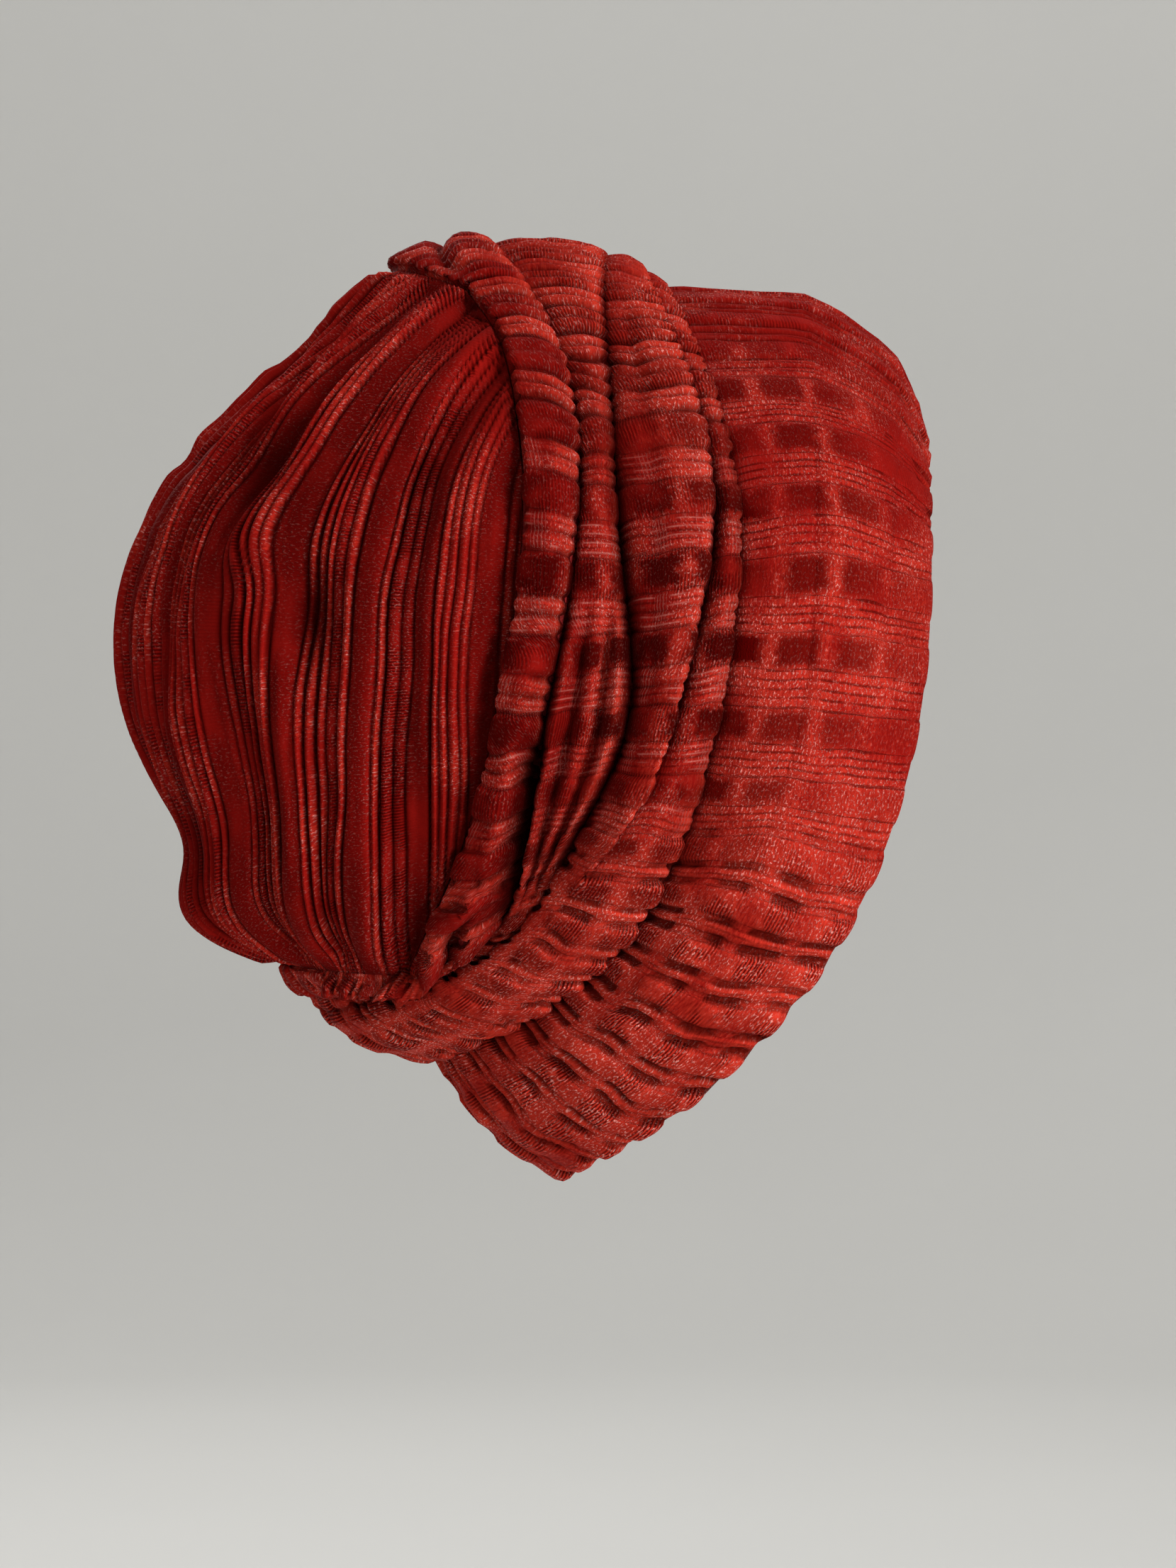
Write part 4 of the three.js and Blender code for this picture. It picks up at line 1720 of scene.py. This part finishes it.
@dataclass(frozen=True)
class CrushedVelvet:
    """Pile side of the cloth: dark bars of standing pile, crushed bright pile and bare threads, with
    painted glints, painted highlights on rib crests and fold edges, and painted shade in grooves, hollows
    and slots.

    Noise scales are in waves a metre and sizes of fibres in millimetres, across and along the ribs.
    A ramp goes from where a mark is absent to where it is full.
    """

    name: str
    deep: Colour = (0.085, 0.0010, 0.0008)
    middle: Colour = (0.24, 0.0062, 0.0044)
    crushed: Colour = (0.55, 0.035, 0.019)
    glint: Colour = (0.93, 0.36, 0.31)
    # Bare threads, and the painted highlights on rib crests
    thread: Colour = (0.46, 0.11, 0.09)
    # Near-black painted shade for grooves, hollows, tucks and slot mouths
    hollow: Colour = (0.013, 0.0002, 0.0002)
    checks: Checks = field(default_factory=Checks)
    stripe: Stripe = field(default_factory=Stripe)

    # Patches and fibres
    patch_scale: float = 48.0
    comb_scale: float = 110.0
    rib_crest_highlight_scale: float = 130.0
    shade_patch_scale: float = 170.0
    blur_scale: float = 300.0
    knit_size: Span = (2.1, 0.75)
    dash_size: Span = (0.9, 0.6)
    dash_shift: float = 40.0
    rib_shift: float = 3.7
    fibre_rough: float = 0.6
    comb_pitch: float = 0.95
    threads: float = 15.0

    # Bars, squares, and painted shade in grooves and slot mouths
    bar_edge: Ramp = (-0.4, 2.6)
    bar_fray: float = 5.0
    bar_blur: float = 2.0
    bar_pile: Ramp = (0.5, 0.7)
    square_edge: Ramp = (0.52, 0.24)
    square_blur: float = 0.3
    dark_patch: Ramp = (0.2, 0.58)
    shaded_groove_edge: Ramp = (0.55, 0.1)
    shaded_groove_least: float = 0.3
    shade_patch_edge: Ramp = (0.35, 0.6)
    slot_edge: Ramp = (0.95, 0.3)
    slot_blur: float = 0.5
    slot_open: Ramp = (0.3, 1.0)

    # Crushed pile, combed rows, bare threads, painted highlights on rib crests and painted glints
    crush_patch: Ramp = (0.35, 0.65)
    patch_crush: float = 0.45
    between_crush: float = 0.15
    knit_crush: float = 1.6
    comb_edge: Ramp = (0.14, 0.34)
    comb_patch: Ramp = (0.38, 0.56)
    comb_pile: Ramp = (0.05, 0.15)
    hair_edge: Ramp = (0.2, 0.08)
    hair_reach: Ramp = (0.14, 0.12)
    hair_share: float = 0.5
    rib_crest_highlight_edge: Ramp = (0.15, 0.04)
    rib_crest_highlight_patch: Ramp = (0.46, 0.62)
    rib_crest_highlight_share: float = 0.7
    bare_pile: Ramp = (0.15, 0.05)
    dash_edge: Ramp = (0.52, 0.74)
    glint_patch: Ramp = (0.3, 0.6)
    glint_least: float = 0.24
    glint_more: float = 0.68

    # Shade
    dark_edge: Ramp = (0.45, 0.95)
    dark_shade: float = 0.55
    hollow_shade: float = 0.9
    slot_shade: float = 0.5

    def _mouths(self, u: Wire, blur: Wire) -> Wire:
        """The mouths of the two slots beside each bar, from 0 to 1."""
        ribs = self.stripe.count + 1.0
        rib = (u / ribs).fraction() * ribs + blur * self.slot_blur
        first, last = 1.0 + self.stripe.slot_inset, ribs - self.stripe.slot_inset
        return (rib - first).size().least((rib - last).size()).rise(*self.slot_edge)

    def material(self) -> bpy.types.Material:
        """Builds the material.

        Returns:
            The velvet, over the piece's cloth coordinates and tones.
        """
        g = Graph(self.name)
        cloth = g.node("ShaderNodeUVMap", {"uv_map": "cloth"}, {})
        u, v = (g.node("ShaderNodeSeparateXYZ", {}, {0: cloth}, axis) for axis in (0, 1))
        place = g.node("ShaderNodeTexCoord", {}, {}, "Object")
        pile, pitch, bar_depth, square, line, comb, thread, crush, shade, slot = (
            g.node("ShaderNodeAttribute", {"attribute_name": tone.value}, {}, "Fac") for tone in Tone
        )
        part, along = u.fraction(), v.fraction()
        from_crest, from_centre = (part - 0.5).size(), (along - 0.5).size()
        from_groove = (0.5 - from_crest) * pitch
        across_mm, along_mm = part * pitch, v * self.checks.repeat
        own = (u - part) * self.rib_shift
        knit_place = g.vector(across_mm / self.knit_size[0] + own, along_mm / self.knit_size[1])
        dash_along = along_mm / self.dash_size[1] + self.dash_shift
        dash_place = g.vector(across_mm / self.dash_size[0] + own, dash_along)
        knit = g.noise(knit_place, 1.0, 2.0, self.fibre_rough)
        dash = g.noise(dash_place, 1.0, 1.0, self.fibre_rough)
        patch = g.noise(place, self.patch_scale, 3.0)
        blur = g.noise(place, self.blur_scale) - 0.5

        frayed = from_groove + (knit - 0.5) * self.bar_fray + blur * self.bar_blur
        bar = frayed.rise(*self.bar_edge) * pile.rise(*self.bar_pile)
        block = (along + blur * self.square_blur - 0.5).size().rise(*self.square_edge)
        dark = bar * (bar_depth + (square - bar_depth) * block) * patch.rise(*self.dark_patch)
        # Painted shade in the grooves between ribs, stronger in some patches than in others
        shade_patches = g.noise(place, self.shade_patch_scale).rise(*self.shade_patch_edge)
        shaded_groove = self.shaded_groove_least + (1.0 - self.shaded_groove_least) * shade_patches
        shaded_groove = from_groove.rise(*self.shaded_groove_edge) * line * shaded_groove
        glint = dash.rise(*self.dash_edge) * patch.rise(*self.glint_patch)
        # Painted highlights along the rib crests, in patches
        rib_crest_highlight = from_crest.rise(*self.rib_crest_highlight_edge)
        rib_crest_highlight = rib_crest_highlight * g.noise(place, self.rib_crest_highlight_scale, 1.0).rise(*self.rib_crest_highlight_patch)
        rows = ((along_mm / self.comb_pitch).fraction() - 0.5).size().rise(*self.comb_edge) * comb
        rows = rows * g.noise(place, self.comb_scale, 1.0).rise(*self.comb_patch)
        rows = rows * pile.rise(*self.comb_pile)
        crush = crush + patch.rise(*self.crush_patch) * self.patch_crush
        crush = crush + square * (1.0 - block) * self.between_crush
        crush = (crush + (knit - 0.5) * self.knit_crush).most(0.0).least(1.0)
        hair = (((along - 0.5) * self.threads + 0.5).fraction() - 0.5).size().rise(*self.hair_edge)
        hair = hair * from_centre.rise(*self.hair_reach)
        threads_and_highlights = (hair * self.hair_share).most(rib_crest_highlight * self.rib_crest_highlight_share)
        bright = glint * (self.glint_least + self.glint_more * crush)

        # Layers of the pile's own marks and of painted light: painted shade in grooves, hollows and slot
        # mouths, painted highlights on rib crests with the bare threads, and painted glints
        layers = (
            (dark, self.deep),
            (rows, self.deep),
            (dark.rise(*self.dark_edge) * thread * self.dark_shade, self.hollow),
            (threads_and_highlights * thread * pile.rise(*self.bare_pile), self.thread),
            (shaded_groove, self.hollow),
            (bright * (1.0 - dark) * (1.0 - shaded_groove), self.glint),
            (shade * self.hollow_shade, self.hollow),
            (self._mouths(u, blur) * slot.rise(*self.slot_open) * self.slot_shade, self.hollow),
        )
        colour = g.mix(crush, self.middle, self.crushed)
        for share, paint in layers:
            colour = g.mix(share, colour, paint)
        height = knit * 0.5 + glint * 0.5 - shaded_groove * 0.5 - rows * 0.4
        normal = g.node("ShaderNodeBump", {}, {"Strength": 0.6, "Distance": 0.0007, "Height": height})
        inputs = {
            "Base Color": colour,
            "Roughness": 0.55 - glint * 0.15 + dark * 0.15,
            "Metallic": 0.25,
            "Normal": normal,
            "Specular IOR Level": 0.0,
            "Sheen Weight": 0.03,
            "Sheen Roughness": 0.4,
            "Sheen Tint": (1.0, 0.15, 0.12, 1.0),
        }
        return g.finish(g.node("ShaderNodeBsdfPrincipled", {}, inputs))


@dataclass(frozen=True)
class KnitBack:
    """Back of the cloth: a plain fine knit."""

    name: str
    colour: Colour = (0.20, 0.012, 0.012)
    shade: Colour = (0.12, 0.006, 0.006)
    loop_scale: float = 900.0
    loop_edge: Ramp = (0.35, 0.65)

    def material(self) -> bpy.types.Material:
        """Builds the material.

        Returns:
            A matt red knit.
        """
        g = Graph(self.name)
        loops = g.noise(g.node("ShaderNodeTexCoord", {}, {}, "Object"), self.loop_scale)
        colour = g.mix(loops.rise(*self.loop_edge), self.shade, self.colour)
        normal = g.node("ShaderNodeBump", {}, {"Strength": 0.3, "Distance": 0.0004, "Height": loops})
        inputs = {"Base Color": colour, "Roughness": 0.85, "Normal": normal, "Specular IOR Level": 0.1}
        return g.finish(g.node("ShaderNodeBsdfPrincipled", {}, inputs))


@dataclass(frozen=True)
class PaleWall:
    """Matt pale paint of the studio, a little lighter in soft patches."""

    name: str
    colour: Colour = (0.60, 0.595, 0.575)
    lighter: float = 1.04
    patch_scale: float = 3.0

    def material(self) -> bpy.types.Material:
        """Builds the material.

        Returns:
            The paint.
        """
        g = Graph(self.name)
        patches = g.noise(g.node("ShaderNodeTexCoord", {}, {}, "Object"), self.patch_scale)
        colour = g.mix(patches, self.colour, tuple(c * self.lighter for c in self.colour))
        inputs = {"Base Color": colour, "Roughness": 0.9, "Specular IOR Level": 0.1}
        return g.finish(g.node("ShaderNodeBsdfPrincipled", {}, inputs))


# Studio


@dataclass(frozen=True)
class Lamp:
    """A square soft lamp: its place, what it faces, its side in metres, its power and its reach."""

    name: str
    place: tuple[float, float, float]
    aim: tuple[float, float, float]
    side: float
    watts: float
    cloth_only: bool = False

    def build(self, cloth: bpy.types.Collection) -> None:
        """Hangs the lamp, which lights everything, or the pieces of cloth alone.

        Args:
            cloth: The pieces of cloth.
        """
        data = bpy.data.lights.new(self.name, "AREA")
        data.size = self.side
        data.energy = self.watts
        lamp = bpy.data.objects.new(self.name, data)
        lamp.location = self.place
        lamp.rotation_mode = "QUATERNION"
        lamp.rotation_quaternion = (Vector(self.aim) - Vector(self.place)).to_track_quat("-Z", "Y")
        bpy.context.scene.collection.objects.link(lamp)
        if self.cloth_only:
            lamp.light_linking.receiver_collection = cloth


HAT_CENTRE = (-0.042, 0.0, -0.144)
LAMPS = (
    Lamp("key", (1.5, -1.4, 1.0), HAT_CENTRE, 0.4, 34.0),
    Lamp("top", (-0.5, -0.5, 1.5), HAT_CENTRE, 0.8, 7.0),
    Lamp("fill", (-1.4, -1.2, 0.3), HAT_CENTRE, 1.2, 4.0),
    Lamp("bounce", (0.8, -1.1, -0.55), HAT_CENTRE, 0.8, 19.0, cloth_only=True),
    Lamp("back", (-0.7, 1.6, 1.0), HAT_CENTRE, 1.0, 14.0),
    Lamp("wall", (0.4, 0.9, 2.2), (0.2, 3.0, -0.1), 1.0, 30.0),
)


@dataclass
class Studio:
    """Round pale studio with soft lamps, and a camera at the photograph's place. Metres."""

    pieces: tuple[bpy.types.Object, ...]
    floor_z: float = -0.62
    radius: float = 3.0
    cove: float = 0.9
    cove_steps: int = 14
    sides: int = 96
    height: float = 3.6
    surround: float = 0.13
    surround_colour: Colour = (1.0, 0.985, 0.96)
    camera_distance: float = 1.2
    frame_height: float = 0.4645
    sensor: float = 36.0
    lamps: tuple[Lamp, ...] = LAMPS

    def build(self) -> None:
        """Builds the floor and wall, the lights and the camera."""
        self._cyclorama()
        self._lights()
        self._camera()

    def _cyclorama(self) -> None:
        """One turned sheet: a flat floor that bends up into a round wall."""
        flat = self.radius - self.cove
        profile = [(0.0, self.floor_z), (flat * 0.5, self.floor_z)]
        for a in np.linspace(0.0, math.pi / 2.0, self.cove_steps):
            rise = self.cove * (1.0 - math.cos(a))
            profile.append((flat + self.cove * math.sin(a), self.floor_z + rise))
        profile.append((self.radius, self.floor_z + self.height))
        points = []
        for r, z in profile:
            for k in range(self.sides):
                a = 2 * math.pi * k / self.sides
                points.append((r * math.cos(a), r * math.sin(a), z))
        faces = []
        for ring in range(0, (len(profile) - 1) * self.sides, self.sides):
            for k in range(self.sides):
                n = (k + 1) % self.sides
                above = ring + self.sides
                faces.append((ring + k, ring + n, above + n, above + k))
        mesh = bpy.data.meshes.new("studio")
        mesh.from_pydata(points, [], faces)
        mesh.polygons.foreach_set("use_smooth", np.ones(len(faces), bool))
        mesh.materials.append(PaleWall("pale_wall").material())
        sheet = bpy.data.objects.new("studio", mesh)
        bpy.context.scene.collection.objects.link(sheet)

    def _lights(self) -> None:
        """The lamps and an even surround, shown without a film curve so that the red stays red."""
        cloth = bpy.data.collections.new("cloth")
        for piece in self.pieces:
            cloth.objects.link(piece)
        for lamp in self.lamps:
            lamp.build(cloth)
        world = bpy.data.worlds.new("surround")
        world.use_nodes = True
        backdrop = world.node_tree.nodes["Background"]
        backdrop.inputs["Color"].default_value = (*self.surround_colour, 1.0)
        backdrop.inputs["Strength"].default_value = self.surround
        bpy.context.scene.world = world
        bpy.context.scene.view_settings.view_transform = "Standard"

    def _camera(self) -> None:
        """Camera level with the middle of the photograph, looking across the hat from its right."""
        data = bpy.data.cameras.new("camera")
        data.lens = self.sensor * self.camera_distance / self.frame_height
        data.sensor_width = self.sensor
        camera = bpy.data.objects.new("camera", data)
        camera.location = (HAT_CENTRE[0], -self.camera_distance, HAT_CENTRE[2])
        camera.rotation_euler = (math.pi / 2.0, 0.0, 0.0)
        bpy.context.scene.collection.objects.link(camera)
        bpy.context.scene.camera = camera


def dress(piece: bpy.types.Object, node: str, velvet: CrushedVelvet) -> None:
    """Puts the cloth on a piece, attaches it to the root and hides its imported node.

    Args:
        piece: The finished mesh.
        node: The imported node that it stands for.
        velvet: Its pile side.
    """
    piece.data.materials.append(velvet.material())
    piece.data.materials.append(KnitBack(f"{velvet.name}_back").material())
    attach(piece, "root")
    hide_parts(node)
    LOG.info("%s: %d faces for %s", piece.name, len(piece.data.polygons), node)


def main() -> None:
    """Builds the pieces and the studio in order, and logs each piece's face count."""
    logging.basicConfig(level=logging.INFO, format="%(name)s: %(message)s")
    crown_shape = CrownShape(CROWN_SECTIONS)
    drape = FrontDrape(DrapeShape(LINES, crown_shape))
    panel = drape.build()
    dress(panel, "front_drape", CrushedVelvet("drape_velvet"))
    pouch = CrownPouch(crown_shape)
    crown = pouch.build()
    dress(crown, "crown", CrushedVelvet("crown_velvet"))
    Studio((panel, crown)).build()


if __name__ == "__main__":
    main()
